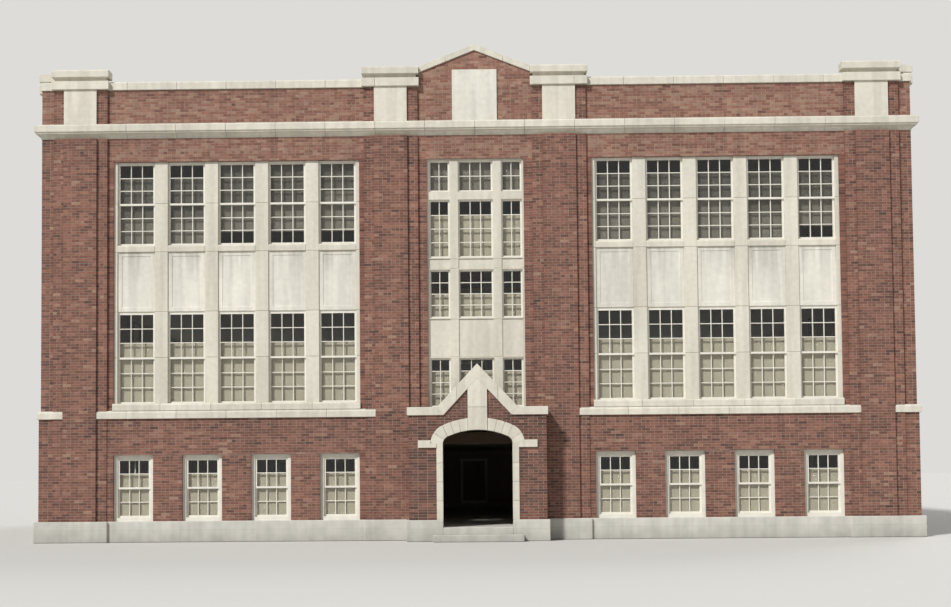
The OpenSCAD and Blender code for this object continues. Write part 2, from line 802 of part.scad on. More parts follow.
// The arched head is drawn from three centres, two at the haunches and one under the crown.
// Grown by the ring's depth, the same shape gives the outside of the arch stones.
module arch_head(grow) {
    haunch_x = arch_half_w - haunch_r;
    rise_to_haunch = spring_z - arch_centre_z;
    reach = 2 * arch_r / (arch_r - haunch_r);
    intersection() {
        union() {
            for (side = [-1, 1]) translate([side * haunch_x, spring_z]) circle(haunch_r + grow, $fn = 160);
            intersection() {
                translate([0, arch_centre_z]) circle(arch_r + grow, $fn = 480);
                polygon([[0, arch_centre_z],
                    [reach * haunch_x, arch_centre_z + reach * rise_to_haunch],
                    [-reach * haunch_x, arch_centre_z + reach * rise_to_haunch]]);
            }
            translate([-haunch_x, spring_z - eps]) square([2 * haunch_x, haunch_r / 2]);
        }
        translate([-arch_half_w - grow - eps, spring_z])
            square([2 * (arch_half_w + grow + eps), arch_half_w]);
    }
}

module arch_ring() {
    difference() {
        arch_head(ring_w);
        arch_head(0);
    }
}

// Open joints of one half of the ring, square to the curve
module ring_joints() {
    haunch_x = arch_half_w - haunch_r;
    crown_angle = asin(haunch_x / (arch_r - haunch_r));
    key_angle = asin(key_half_w / arch_r);
    step = (crown_angle - key_angle) / crown_stones;
    translate([0, arch_centre_z]) for (i = [1 : crown_stones])
        rotate(-key_angle - i * step) translate([-joint / 2, 0]) square([joint, arch_r + 2 * ring_w]);
    for (i = [1 : haunch_stones - 1])
        translate([haunch_x, spring_z]) rotate(-crown_angle - i * (90 - crown_angle) / haunch_stones)
            translate([-joint / 2, 0]) square([joint, haunch_r + 2 * ring_w]);
}

module arch_stones() color(stone) at_front()
    plate(porch_out + ring_out, cheek_y) for (side = [0, 1]) mirror([side, 0]) difference() {
        arch_ring();
        translate([-porch_half_w, 0]) square([porch_half_w + key_half_w + joint, porch_apex_z]);
        ring_joints();
    }

// The keystone rises from the arch to the underside of the gable coping
module porch_keystone() color(stone) at_front()
    plate(porch_out + trim_out, cheek_y) difference() {
        intersection() {
            porch_outline();
            translate([-key_half_w, spring_z]) square([2 * key_half_w, porch_apex_z - spring_z]);
        }
        arch_head(0);
    }

// Outline of the porch's brick front with its steep gable
module porch_outline() {
    polygon([
        [-porch_half_w, impost_z], [porch_half_w, impost_z], [porch_half_w, belt_z],
        [gable_brick_x, belt_z], [0, porch_apex_z - rake_h], [-gable_brick_x, belt_z],
        [-porch_half_w, belt_z]
    ]);
}

module impost_outline() {
    difference() {
        translate([arch_half_w + jamb_stone_w, impost_z])
            square([impost_x - arch_half_w - jamb_stone_w, impost_h]);
        arch_head(ring_w);
    }
}

module porch_imposts() color(stone) at_front()
    plate(porch_out + trim_out, cheek_y) for (side = [0, 1]) mirror([side, 0]) impost_outline();

module porch_front_piers() color(brick) at_front()
    for (side = [0, 1]) mirror([side, 0, 0])
        block(arch_half_w + jamb_stone_w, porch_half_w, porch_out, cheek_y, foundation_z, impost_z);

module porch_side_walls() color(brick) at_front()
    for (side = [0, 1]) mirror([side, 0, 0])
        block(porch_half_w - porch_t, porch_half_w, -cheek_y, -base_out, foundation_z, belt_z);

// Jamb stones of the archway, from the foundation to the springing
module porch_jambs() color(stone) at_front()
    for (side = [0, 1]) mirror([side, 0, 0])
        block(arch_half_w, arch_half_w + jamb_stone_w, porch_out + ring_out, cheek_y,
            foundation_z, spring_z);

module porch_gable_wall() color(brick) at_front()
    plate(porch_out, cheek_y) difference() {
        porch_outline();
        arch_head(ring_w);
        for (side = [0, 1]) mirror([side, 0]) impost_outline();
        translate([-arch_half_w - jamb_stone_w, impost_z - eps])
            square([2 * (arch_half_w + jamb_stone_w), spring_z - impost_z + 2 * eps]);
        translate([-key_half_w, spring_z]) square([2 * key_half_w, porch_apex_z - spring_z]);
    }

module porch_gable_coping() color(stone) at_front()
    plate(porch_out + trim_out, cheek_y + trim_out) polygon([
        [-slope_foot_x, porch_shoulder_z], [-gable_brick_x, belt_z], [0, porch_apex_z - rake_h],
        [gable_brick_x, belt_z], [slope_foot_x, porch_shoulder_z], [0, porch_apex_z]
    ]);

// Flat copings on the shoulders, returned along the side walls to the building
module porch_shoulder_copings() color(stone) at_front() for (side = [0, 1]) mirror([side, 0, 0]) {
    plate(porch_out + trim_out, cheek_y + trim_out) polygon([
        [gable_brick_x, belt_z], [porch_half_w + trim_out, belt_z],
        [porch_half_w + trim_out, porch_shoulder_z], [slope_foot_x, porch_shoulder_z]
    ]);
    block(porch_half_w - porch_t - trim_out, porch_half_w + trim_out, -cheek_y, 0,
        belt_z, porch_shoulder_z);
}

module porch_roof() color(concrete) at_front()
    block(-porch_half_w + porch_t, porch_half_w - porch_t, -cheek_y, 0, belt_z - porch_roof_t, belt_z);

// Floor of the porch and of the doorway behind it
module entrance_floor() color(concrete) at_front() {
    block(-arch_half_w, arch_half_w, porch_out + foundation_out, cheek_y, 0, ground_floor_z);
    block(-porch_half_w + porch_t, porch_half_w - porch_t, -cheek_y, 0, 0, ground_floor_z);
    block(-door_half_w, door_half_w, 0, wall_t, 0, ground_floor_z);
}

module entrance_step() color(concrete) at_front()
    block(-step_half_w, step_half_w, porch_out + foundation_out + step_d, -porch_out - foundation_out,
        0, ground_floor_z / 2);

ground_slab();
rear_floors();
front_floors();
roof_slab();
foundation_walls();
front_and_rear_base_walls();
side_base_walls();
front_and_rear_piers();
side_piers();
front_and_rear_friezes();
side_friezes();
pilasters();
belt_course();
cornice();
front_and_rear_parapets();
side_parapets();
parapet_coping();
pier_blocks();
pier_caps();
gable_wall();
gable_coping();
gable_tablet();
window_sills();
window_mullions();
spandrel_panels();
basement_sashes();
first_floor_sashes();
second_floor_sashes();
basement_glass();
first_floor_glass();
second_floor_glass();
stair_window_frame();
stair_window_sashes();
stair_window_glass();
door_head_wall();
porch_foundations();
porch_front_piers();
porch_side_walls();
porch_jambs();
porch_imposts();
arch_stones();
porch_keystone();
porch_gable_wall();
porch_gable_coping();
porch_shoulder_copings();
porch_roof();
entrance_floor();
entrance_step();
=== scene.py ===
"""A two-storey brick school on a raised basement: the look of its masonry, windows and roof.

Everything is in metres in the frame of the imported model. Each wall is worked in its own frame:
x runs along the wall, the brick face is y = 0, outdoors is -y, and z is the height.
"""
import itertools
import json
import math
import random

import bmesh
import bpy
from bpy.props import FloatProperty, FloatVectorProperty, PointerProperty
from mathutils import Matrix, Vector


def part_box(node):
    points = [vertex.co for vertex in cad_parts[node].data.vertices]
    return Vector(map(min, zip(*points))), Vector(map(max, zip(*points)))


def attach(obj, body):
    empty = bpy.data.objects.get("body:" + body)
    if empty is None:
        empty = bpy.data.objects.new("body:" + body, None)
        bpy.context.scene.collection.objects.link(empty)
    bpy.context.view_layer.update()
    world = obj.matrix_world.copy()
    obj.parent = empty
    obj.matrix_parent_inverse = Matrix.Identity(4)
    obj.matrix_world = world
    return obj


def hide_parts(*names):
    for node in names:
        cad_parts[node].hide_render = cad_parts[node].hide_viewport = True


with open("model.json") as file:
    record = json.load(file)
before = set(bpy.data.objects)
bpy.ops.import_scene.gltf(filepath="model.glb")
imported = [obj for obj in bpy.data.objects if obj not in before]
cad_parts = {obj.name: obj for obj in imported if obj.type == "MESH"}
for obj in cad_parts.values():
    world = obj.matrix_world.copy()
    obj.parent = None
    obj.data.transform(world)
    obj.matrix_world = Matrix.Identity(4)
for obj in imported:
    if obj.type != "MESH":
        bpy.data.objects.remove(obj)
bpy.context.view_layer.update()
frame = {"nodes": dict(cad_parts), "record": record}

bl_info = {
    "name": "Brick school building",
    "version": (1, 0, 0),
    "blender": (4, 5, 0),
    "location": "3D View > Sidebar > School",
    "description": "Lays the bricks, dresses the stone, glazes the windows and sets the stage",
    "category": "Add Mesh",
}

# Levels and plan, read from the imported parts
PIER_LOW, PIER_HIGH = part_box("front_and_rear_piers")
HALF_W, HALF_D = PIER_HIGH.x, PIER_HIGH.y
BELT_TOP, WINDOW_HEAD = PIER_LOW.z, PIER_HIGH.z
FOUNDATION, CORNICE = (corner.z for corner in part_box("pilasters"))
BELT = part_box("belt_course")[0].z
PARAPET, PARAPET_TOP = (corner.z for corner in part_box("pier_blocks"))
BASEMENT_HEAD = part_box("basement_sashes")[1].z
FIRST_SILL, FIRST_HEAD = (corner.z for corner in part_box("first_floor_sashes"))
SECOND_SILL, SECOND_HEAD = (corner.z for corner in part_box("second_floor_sashes"))
GABLE_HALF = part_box("gable_wall")[1].x
GABLE_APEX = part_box("gable_wall")[1].z
PORCH_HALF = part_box("porch_front_piers")[1].x
PORCH_OUT = -HALF_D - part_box("porch_front_piers")[0].y
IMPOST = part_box("porch_imposts")[0].z
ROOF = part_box("roof_slab")[1].z

# Plan of the walls, in their own frames
BASE_OUT, STRIP_OUT, PILASTER_OUT = 0.040, 0.060, 0.115
PILASTER_HALF, STRIP_W = 0.410, 0.260
PIER_HALF = PILASTER_HALF + STRIP_W
PITCH, MULLION, JAMB = 1.260, 0.330, 0.100
BASEMENT_W, BASEMENT_PITCH, BOX_FACE = 1.000, 1.710, 0.090
SASH_W, SASH_D, HEAD_H = 0.048, 0.040, 0.025
BAR_D = SASH_D - 0.006
SASH_BACK, BASEMENT_SASH_BACK = 0.110, 0.080
UPPER_SILL = 7.240
STAIR_HALF, STAIR_SASH_W = 1.210, 0.042
# The lights of the stair window: across as middle, width and panes, and up as foot, head and panes
STAIR_LIGHTS = ((-0.902, 0.516, 2), (0.0, 0.868, 3), (0.902, 0.516, 2))
STAIR_ROWS = ((3.290, 4.510, 4), (5.510, 6.720, 4), (7.020, 8.480, 4), (8.680, 9.470, 2))
# Where the shades hang, and how far back the grey ones hang from the buff ones
ROOM_BACK, BASEMENT_SHADE_BACK, SHADE_STEP = 0.220, 0.170, 0.020
LINING, CEILING = 0.355, ROOF - 0.300       # how far in, and up to where, the rooms are plastered
SKIN = 0.002            # the outside of a wall, where mortar shows between the face bricks
PARAPET_WALL = 0.330
PORCH_WALL, PORCH_CHEEK = 0.330, 0.390
JAMB_STONE = 1.003
DOOR_HALF, DOOR_HEAD = 0.900, 2.740
GABLE_SHOULDER, TABLET_HALF = 11.680, 0.560
PORCH_SHOULDER = 3.060
PORCH_CEILING = PORCH_SHOULDER - 0.150
RAKE_FOOT, RAKE_APEX = 0.831, 3.950
ARCH_HALF, ARCH_RISE, ARCH_SPRING, CROWN_HALF = 1.000, 0.550, 2.360, 0.200
# Where rain drips from, with the reach of its stain down the wall
WALL_LEDGES = ((BELT, 0.7), (CORNICE, 0.9), (PARAPET_TOP, 0.5))
PANEL_LEDGES = ((UPPER_SILL, 0.8),)
# Each wall and each set of stones has its own seed for its tones, counted from these on
WALL_SEED, PORCH_SEED, STONE_SEED, CONCRETE_SEED, FELT_SEED = 11, 29, 41, 71, 83
FLAT, ARRIS_TURN = math.radians(1), math.radians(28)
NEAR, TOUCHING = 1e-5, 1e-6     # how close two points are to count as one


def wall_frame(x, y, quarters):
    """The frame of a wall through this point, turned by quarters of a circle."""
    return Matrix.Translation((x, y, 0)) @ Matrix.Rotation(quarters * math.pi / 2, 4, "Z")


FACES = {"front": wall_frame(0, -HALF_D, 0), "rear": wall_frame(0, HALF_D, 2),
         "left": wall_frame(-HALF_W, 0, -1), "right": wall_frame(HALF_W, 0, 1)}
# The middle of each group of large windows, and how many there are in it
LONG_GROUP, SHORT_GROUP = 5.975, 4.905
GROUPS = {"front": ((-LONG_GROUP, 5), (LONG_GROUP, 5)),
          "rear": ((-LONG_GROUP, 5), (0.0, 1), (LONG_GROUP, 5)),
          "left": ((-SHORT_GROUP, 4), (0.0, 1), (SHORT_GROUP, 4))}
GROUPS["right"] = GROUPS["left"]
ENTRANCE_PILASTER = 2.100
PILASTERS = {"front": (-9.870, -ENTRANCE_PILASTER, ENTRANCE_PILASTER, 9.870),
             "left": (-8.170, 8.170)}
PILASTERS["rear"], PILASTERS["right"] = PILASTERS["front"], PILASTERS["left"]


def group_half(count):
    """Half the width of a group of large windows, with its stone jambs."""
    return (PITCH * count - MULLION + 2 * JAMB) / 2


def spread(middle, count, pitch):
    """Evenly spaced places about a middle."""
    return [middle + (i - (count - 1) / 2) * pitch for i in range(count)]


def large_windows(face):
    """The middle of each large window of one storey."""
    return [x for middle, count in GROUPS[face] for x in spread(middle, count, PITCH)]


def mullion_middles(face):
    """The middle of each mullion between two large windows."""
    return [x for middle, count in GROUPS[face] for x in spread(middle, count - 1, PITCH)]


def basement_windows(face):
    """The middle of each basement window: one fewer than above, or one."""
    return [x for middle, count in GROUPS[face]
            for x in spread(middle, max(1, count - 1), BASEMENT_PITCH)]


# Each storey's windows: where they are, their width, sill, head and rows of panes, and how far back
STOREYS = {
    "first_floor": (large_windows, (PITCH - MULLION, FIRST_SILL, FIRST_HEAD - HEAD_H, 6), SASH_BACK),
    "second_floor": (large_windows, (PITCH - MULLION, SECOND_SILL, SECOND_HEAD - HEAD_H, 6), SASH_BACK),
    "basement": (basement_windows, (BASEMENT_W - 2 * BOX_FACE, FOUNDATION + BOX_FACE,
                                    BASEMENT_HEAD - BOX_FACE, 4), BASEMENT_SASH_BACK),
}


def srgb(text):
    """A #rrggbb colour as the linear values that Blender works in."""
    parts = [int(text[i:i + 2], 16) / 255 for i in (1, 3, 5)]
    return [c / 12.92 if c <= 0.04045 else ((c + 0.055) / 1.055) ** 2.4 for c in parts] + [1.0]


def mesh_of(name, bm, material=None):
    """The mesh of a bmesh, which is freed."""
    mesh = bpy.data.meshes.new(name)
    bm.to_mesh(mesh)
    bm.free()
    if material:
        mesh.materials.append(material)
    return mesh


def add_object(name, data):
    """Puts an object with this data in the scene."""
    made = bpy.data.objects.new(name, data)
    bpy.context.scene.collection.objects.link(made)
    return made


def new_piece(name, bm, material, replaced=()):
    """Makes a bmesh a piece of the building, with its material and body, and hides the parts it
    replaces.
    """
    if not bm.faces:
        raise RuntimeError(name + " came out empty")
    piece = add_object(name, mesh_of(name, bm, material))
    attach(piece, "root")
    if replaced:
        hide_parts(*replaced)
    return piece


# Materials

COLOURS = {"data_type": "RGBA", "out": 2}       # settings of a Mix node that mixes colours


def put(tree, kind, values=None, stops=None, out=0, **settings):
    """Adds a node with its settings, inputs and ramp, where a number is a grey, and gives one output."""
    made = tree.nodes.new("ShaderNode" + kind)
    for name, setting in settings.items():
        setattr(made, name, setting)
    for name, value in (values or {}).items():
        if isinstance(value, bpy.types.NodeSocket):
            tree.links.new(value, made.inputs[name])
        else:
            made.inputs[name].default_value = value
    if stops:
        ramp = made.color_ramp.elements
        while len(ramp) < len(stops):
            ramp.new(0.5)
        for stop, (position, colour) in zip(ramp, stops):
            stop.position = position
            stop.color = (colour, colour, colour, 1.0) if isinstance(colour, float) else colour
    return made.outputs[out] if made.outputs else made


def begin(name, roughness, **uniform):
    """A new material with its shader's plain values, its tree and its Object coordinates."""
    material = bpy.data.materials.new(name)
    material.use_nodes = True
    tree = material.node_tree
    for key, value in {"Roughness": roughness, **uniform}.items():
        tree.nodes["Principled BSDF"].inputs[key.replace("_", " ")].default_value = value
    return material, tree, put(tree, "TexCoord", out="Object")


def surface(material, colour=None, height=None, depth=0.0, roughness=None):
    """Joins a colour, a relief of this real depth in metres and a roughness to the shader."""
    tree = material.node_tree
    if height:
        height = put(tree, "Bump", {"Height": height, "Distance": depth})
    for name, value in (("Base Color", colour), ("Normal", height), ("Roughness", roughness)):
        if value:
            tree.links.new(value, tree.nodes["Principled BSDF"].inputs[name])
    return material


def cloudy(tree, place, scale, detail, span=(0.3, 0.7), greys=(0.0, 1.0)):
    """Noise 1/scale metres across, on each axis if it has three, spread between two greys."""
    if isinstance(scale, tuple):
        place, scale = put(tree, "Mapping", {"Vector": place, "Scale": scale}), 1.0
    noise = put(tree, "TexNoise", {"Vector": place, "Scale": scale, "Detail": detail})
    return put(tree, "ValToRGB", {"Fac": noise}, tuple(zip(span, greys)))


def level(tree, place, low, high, stops):
    """A grey that follows a ramp between two heights."""
    height = put(tree, "SeparateXYZ", {"Vector": place}, out="Z")
    share = put(tree, "MapRange", {"Value": height, "From Min": low, "From Max": high})
    return put(tree, "ValToRGB", {"Fac": share}, stops)


def own_tone(tree, low, high):
    """The tone of each brick or stone, kept in its tone attribute, between two numbers."""
    tone = put(tree, "Attribute", attribute_name="tone", out="Fac")
    return put(tree, "MapRange", {"Value": tone, "From Min": -0.5, "From Max": 0.5,
                                  "To Min": low, "To Max": high})


def darkened(tree, colour, *marks):
    """A colour multiplied by one mark after another."""
    for mark in marks:
        colour = put(tree, "Mix", {0: 1.0, 6: colour, 7: mark}, blend_type="MULTIPLY", **COLOURS)
    return colour


def weathered(tree, place, colour, streak_dark, ledges=()):
    """Rain streaks down the wall, soot in broad clouds, and stains under each ledge and at the foot."""
    # streaks 0.2 m wide and 3 m long, soot 2 m across, and runs 0.12 m wide from the ledges
    marks = [cloudy(tree, place, (5.0, 5.0, 0.35), 5.0, (0.42, 0.62), (1.0, streak_dark)),
             cloudy(tree, place, 0.45, 4.0, (0.30, 0.72), (0.90, 1.05)),
             level(tree, place, 0.0, 0.9, ((0.0, 0.80), (1.0, 1.0)))]
    runs = cloudy(tree, place, (8.0, 8.0, 0.12), 4.0, (0.40, 0.64), (1.0, 0.74))
    for ledge, reach in ledges:
        near = level(tree, place, ledge - reach, ledge, ((0.0, 0.0), (0.97, 1.0), (0.99, 0.0)))
        marks.append(put(tree, "Mix", {0: near, 6: (1.0,) * 4, 7: runs}, **COLOURS))
    return darkened(tree, colour, *marks)


def fired_face_brick(colours):
    """Moulded clay face brick: each fired to its own tone, with a sandy face and kiln flashing."""
    material, tree, place = begin("fired_face_brick", 0.86)
    # flashing is 90 mm across, and sand of 1 mm is drawn at 6 mm, so that it shows
    fired = put(tree, "ValToRGB", {"Fac": own_tone(tree, 0.0, 1.0)}, (
        (0.00, srgb("#593c34")), (0.22, srgb("#6d483d")), (0.50, colours.brick),
        (0.78, srgb("#946656")), (1.00, srgb("#a27e6b"))))
    flashed = darkened(tree, fired, cloudy(tree, place, 11.0, 3.0, (0.35, 0.70), (0.84, 1.08)))
    return surface(material, weathered(tree, place, flashed, 0.86, WALL_LEDGES),
                   cloudy(tree, place, 160.0, 4.0, (0.25, 0.75)), 0.0015)


def brick_backing(colours):
    """Lime mortar behind the face bricks, common brick where the wall turns in, plaster in the rooms."""
    material, tree, place = begin("lime_mortar_and_common_brick", 0.92)
    # mortar varies over 30 mm, and its sand of 2 mm is drawn at 8 mm
    x, y, z = (put(tree, "SeparateXYZ", {"Vector": place}, out=axis) for axis in "XYZ")
    facing = put(tree, "SeparateXYZ", {"Vector": put(tree, "NewGeometry", out="True Normal")})
    sideways = put(tree, "Math", {0: facing}, operation="ABSOLUTE")
    turned = put(tree, "Math", {0: sideways, 1: 0.5}, operation="GREATER_THAN")
    along = put(tree, "Mix", {0: turned, 2: x, 3: y}, data_type="FLOAT")
    rise = put(tree, "Math", {0: z, 1: FOUNDATION}, operation="SUBTRACT")
    mortar = put(tree, "Mix", {0: cloudy(tree, place, 30.0, 3.0), 6: srgb("#8f8577"),
                               7: srgb("#a79d8e")}, **COLOURS)
    bond = put(tree, "TexBrick", {
        "Vector": put(tree, "CombineXYZ", {"X": along, "Y": rise}), "Color1": colours.brick,
        "Color2": srgb("#6b4a3f"), "Mortar": mortar, "Scale": 1.0, "Mortar Size": 0.005,
        "Mortar Smooth": 0.1, "Brick Width": 2 * BRICK_HALF, "Row Height": COURSE}, offset=0.5)
    outside, lined = 0.0, put(tree, "Math", {0: z, 1: CEILING}, operation="LESS_THAN")
    for axis, half in ((x, HALF_W), (y, HALF_D)):
        reach = put(tree, "Math", {0: axis}, operation="ABSOLUTE")
        beyond = put(tree, "Math", {0: reach, 1: half - SKIN}, operation="GREATER_THAN")
        within = put(tree, "Math", {0: reach, 1: half - LINING}, operation="LESS_THAN")
        outside = put(tree, "Math", {0: outside, 1: beyond}, operation="MAXIMUM")
        lined = put(tree, "Math", {0: lined, 1: within}, operation="MULTIPLY")
    wall = put(tree, "Mix", {0: lined, 6: bond, 7: srgb("#b3ab9b")}, **COLOURS)
    return surface(material, put(tree, "Mix", {0: outside, 6: wall, 7: mortar}, **COLOURS),
                   cloudy(tree, place, 120.0, 4.0), 0.0010)


def rubbed_limestone(name, colour, ledges=()):
    """Sawn and rubbed limestone: fine-grained, softly mottled, each stone its own shade."""
    material, tree, place = begin(name, 0.78)
    # mottled over 110 mm, pitted every 11 mm, and its 1 mm grain is drawn at 5 mm
    stone = darkened(tree, colour, own_tone(tree, 0.955, 1.045),
                     cloudy(tree, place, 9.0, 6.0, (0.30, 0.70), (0.93, 1.04)),
                     cloudy(tree, place, 90.0, 2.0, (0.62, 0.70), (1.0, 0.90)))
    return surface(material, weathered(tree, place, stone, 0.88, ledges),
                   cloudy(tree, place, 220.0, 3.0), 0.0006)


def board_marked_concrete(colour):
    """Concrete poured against sawn boards: faint board lines, blowholes and damp at its foot."""
    material, tree, place = begin("board_marked_concrete", 0.88)
    # boards are 300 mm wide, blowholes 40 mm apart and clouds 290 mm across
    boards = put(tree, "TexWave", {"Vector": place, "Scale": 1.05, "Distortion": 0.25, "Detail": 2.0,
                                   "Detail Scale": 2.0}, wave_type="BANDS", bands_direction="Z",
                 wave_profile="SAW", out="Fac")
    lines = put(tree, "ValToRGB", {"Fac": boards}, ((0.0, 0.86), (0.06, 1.0)))
    holes = put(tree, "TexVoronoi", {"Vector": place, "Scale": 26.0})
    pitted = put(tree, "ValToRGB", {"Fac": holes}, ((0.05, 0.70), (0.12, 1.0)))
    cast = darkened(tree, colour, own_tone(tree, 0.97, 1.03),
                    cloudy(tree, place, 3.5, 6.0, (0.30, 0.72), (0.88, 1.06)), lines, pitted,
                    level(tree, place, 0.0, 0.35, ((0.0, 0.82), (1.0, 1.0))))
    return surface(material, weathered(tree, place, cast, 0.90), darkened(tree, lines, pitted), 0.004)


def oil_painted_pine(colour):
    """Lead oil paint on pine joinery: satin, brushed along the wood, dulled by dust."""
    material, tree, place = begin("oil_painted_pine", 0.42)
    # dust lies in patches of 170 mm, and brush marks of 1 mm are drawn at 4 mm
    dust = cloudy(tree, place, 6.0, 5.0, (0.35, 0.75), (0.90, 1.02))
    return surface(material, darkened(tree, colour, dust),
                   cloudy(tree, place, (260.0, 260.0, 30.0), 2.0), 0.0004,
                   cloudy(tree, place, 18.0, 3.0, (0.3, 0.7), (0.36, 0.55)))


def drawn_sheet_glass():
    """Drawn window glass: clear, with the slow ripple of the old process."""
    # ripples are 0.3 m across; window glass is 1.52, and less keeps the panes as dark as they print
    material, tree, place = begin(
        "drawn_sheet_glass", 0.01, IOR=1.36, Transmission_Weight=1.0, Base_Color=srgb("#f4f7f6"))
    return surface(material, height=cloudy(tree, place, (3.0, 3.0, 1.2), 1.0), depth=0.0012)


def holland_cloth(name, colour):
    """Glazed cotton holland, as in roller shades: a close even weave, with the shade of soft vertical
    folds painted into its colour.
    """
    material, tree, place = begin(name, 0.80, Sheen_Weight=0.1)
    # painted fold shading is 0.4 m apart, and threads about 1 mm apart are drawn at 4 mm, so that they
    # show
    weave = put(tree, "TexWave", {"Vector": place, "Scale": 78.0, "Distortion": 0.4},
                wave_type="BANDS", bands_direction="Z", out="Fac")
    # painted shade of the folds: the cloth's colour darkened in soft vertical bands
    fold_shading = cloudy(tree, place, (2.5, 2.5, 0.5), 3.0, (0.3, 0.7), (0.94, 1.03))
    return surface(material, darkened(tree, colour, fold_shading), weave, 0.0003)


def gravelled_felt():
    """Roofing felt under fine gravel: grey, speckled, darker where water stands."""
    material, tree, place = begin("gravelled_roofing_felt", 0.95)
    # gravel of 10 mm is drawn at 22 mm, so that it shows, and pools are 2 m across
    gravel = put(tree, "TexVoronoi", {"Vector": place, "Scale": 45.0})
    speckle = put(tree, "ValToRGB", {"Fac": gravel}, (
        (0.1, srgb("#a29d93")), (0.5, srgb("#85817a")), (0.8, srgb("#5f5c57"))))
    pools = cloudy(tree, place, 0.5, 4.0, (0.35, 0.65), (0.88, 1.05))
    return surface(material, darkened(tree, speckle, own_tone(tree, 0.93, 1.07), pools), gravel, 0.006)


def worn_pine_boards():
    """Oiled pine floorboards, 80 mm wide and worn, over a lime-washed ceiling."""
    material, tree, place = begin("worn_pine_boards", 0.55)
    # grain of 2 mm is drawn at 17 mm, as the boards are seen from afar
    boards = put(tree, "TexBrick", {
        "Vector": place, "Color1": srgb("#8a6f50"), "Color2": srgb("#7a6146"),
        "Mortar": srgb("#3c3025"), "Scale": 1.0, "Mortar Size": 0.0015, "Brick Width": 2.4,
        "Row Height": 0.08}, offset=0.37)
    worn = darkened(tree, boards, cloudy(tree, place, (3.0, 60.0, 60.0), 4.0, (0.3, 0.7), (0.85, 1.06)))
    facing = put(tree, "SeparateXYZ", {"Vector": put(tree, "NewGeometry", out="True Normal")}, out="Z")
    under = put(tree, "Math", {0: facing, 1: -0.5}, operation="LESS_THAN")
    return surface(material, put(tree, "Mix", {0: under, 6: worn, 7: srgb("#cfc9ba")}, **COLOURS))


def lead_flashing():
    """Sheet lead dressed by hand: dull grey, softly dented."""
    material, tree, place = begin("lead_flashing", 0.55, Metallic=0.6)
    # patches are 170 mm and dents 110 mm across
    patina = put(tree, "Mix", {0: cloudy(tree, place, 6.0, 4.0), 6: srgb("#5c5f61"),
                               7: srgb("#74777a")}, **COLOURS)
    return surface(material, patina, cloudy(tree, place, 9.0, 3.0), 0.003)


# Brickwork

BRICK_HALF = 0.1065     # half of a 203 mm brick with its 10 mm joint
BRICK_DEPTH = 0.092
COURSES_TO_CORNICE = 143
COURSE = (CORNICE - FOUNDATION) / COURSES_TO_CORNICE
HEADER_EVERY = 6        # common bond: every sixth course shows the ends of its bricks
LEAST_COURSE = 0.35     # a thinner share of a course joins its neighbour
LEAST_BRICK = 0.022     # a narrower sliver isn't laid
# The frieze and parapet print lighter than the piers, and the porch darker
TONE_SPREAD, UPPER_PALE, PORCH_PALE = 0.2, 0.28, -0.28


def bed_levels(low, high):
    """Bed joints between two levels, on courses counted from the foundation up."""
    first = math.ceil((low - FOUNDATION) / COURSE + LEAST_COURSE)
    last = math.floor((high - FOUNDATION) / COURSE - LEAST_COURSE)
    return [low] + [FOUNDATION + k * COURSE for k in range(first, last + 1)] + [high]


def course_of(height):
    """The number of the course at a height."""
    return math.floor((height - FOUNDATION) / COURSE)


def mirrored(side, near, far):
    """Two places on one side of the middle, from left to right."""
    return sorted((side * near, side * far))


def rake(apex, shoulder, run, side):
    """The plane along a gable's slope on one side, as a point of it and its outward normal."""
    slope = Vector((apex - shoulder, 0, run)).normalized()
    return Vector((0, 0, apex)), Vector((side * slope.x, 0, slope.z))


def cut_plane(bm, point, normal, near, **more):
    """Cuts a whole mesh by a plane."""
    bmesh.ops.bisect_plane(bm, geom=bm.verts[:] + bm.edges[:] + bm.faces[:], dist=near,
                           plane_co=point, plane_no=normal, **more)


def chamfer_edges(bm, edges, width, **more):
    """Takes off edges by this width."""
    bmesh.ops.bevel(bm, geom=edges, offset=width, offset_type="OFFSET", segments=1, profile=0.5,
                    affect="EDGES", material=-1, **more)


def is_left_out(face, parity, gone):
    """Whether a brick is in a course that isn't laid, is a sliver, or stands in an opening."""
    middle = face.calc_center_median()
    xs, zs = ([v.co[axis] for v in face.verts] for axis in (0, 2))
    return (parity is not None and course_of(middle.z) % 2 != parity
            or min(max(xs) - min(xs), max(zs) - min(zs)) < LEAST_BRICK
            or bool(gone and gone(middle)))


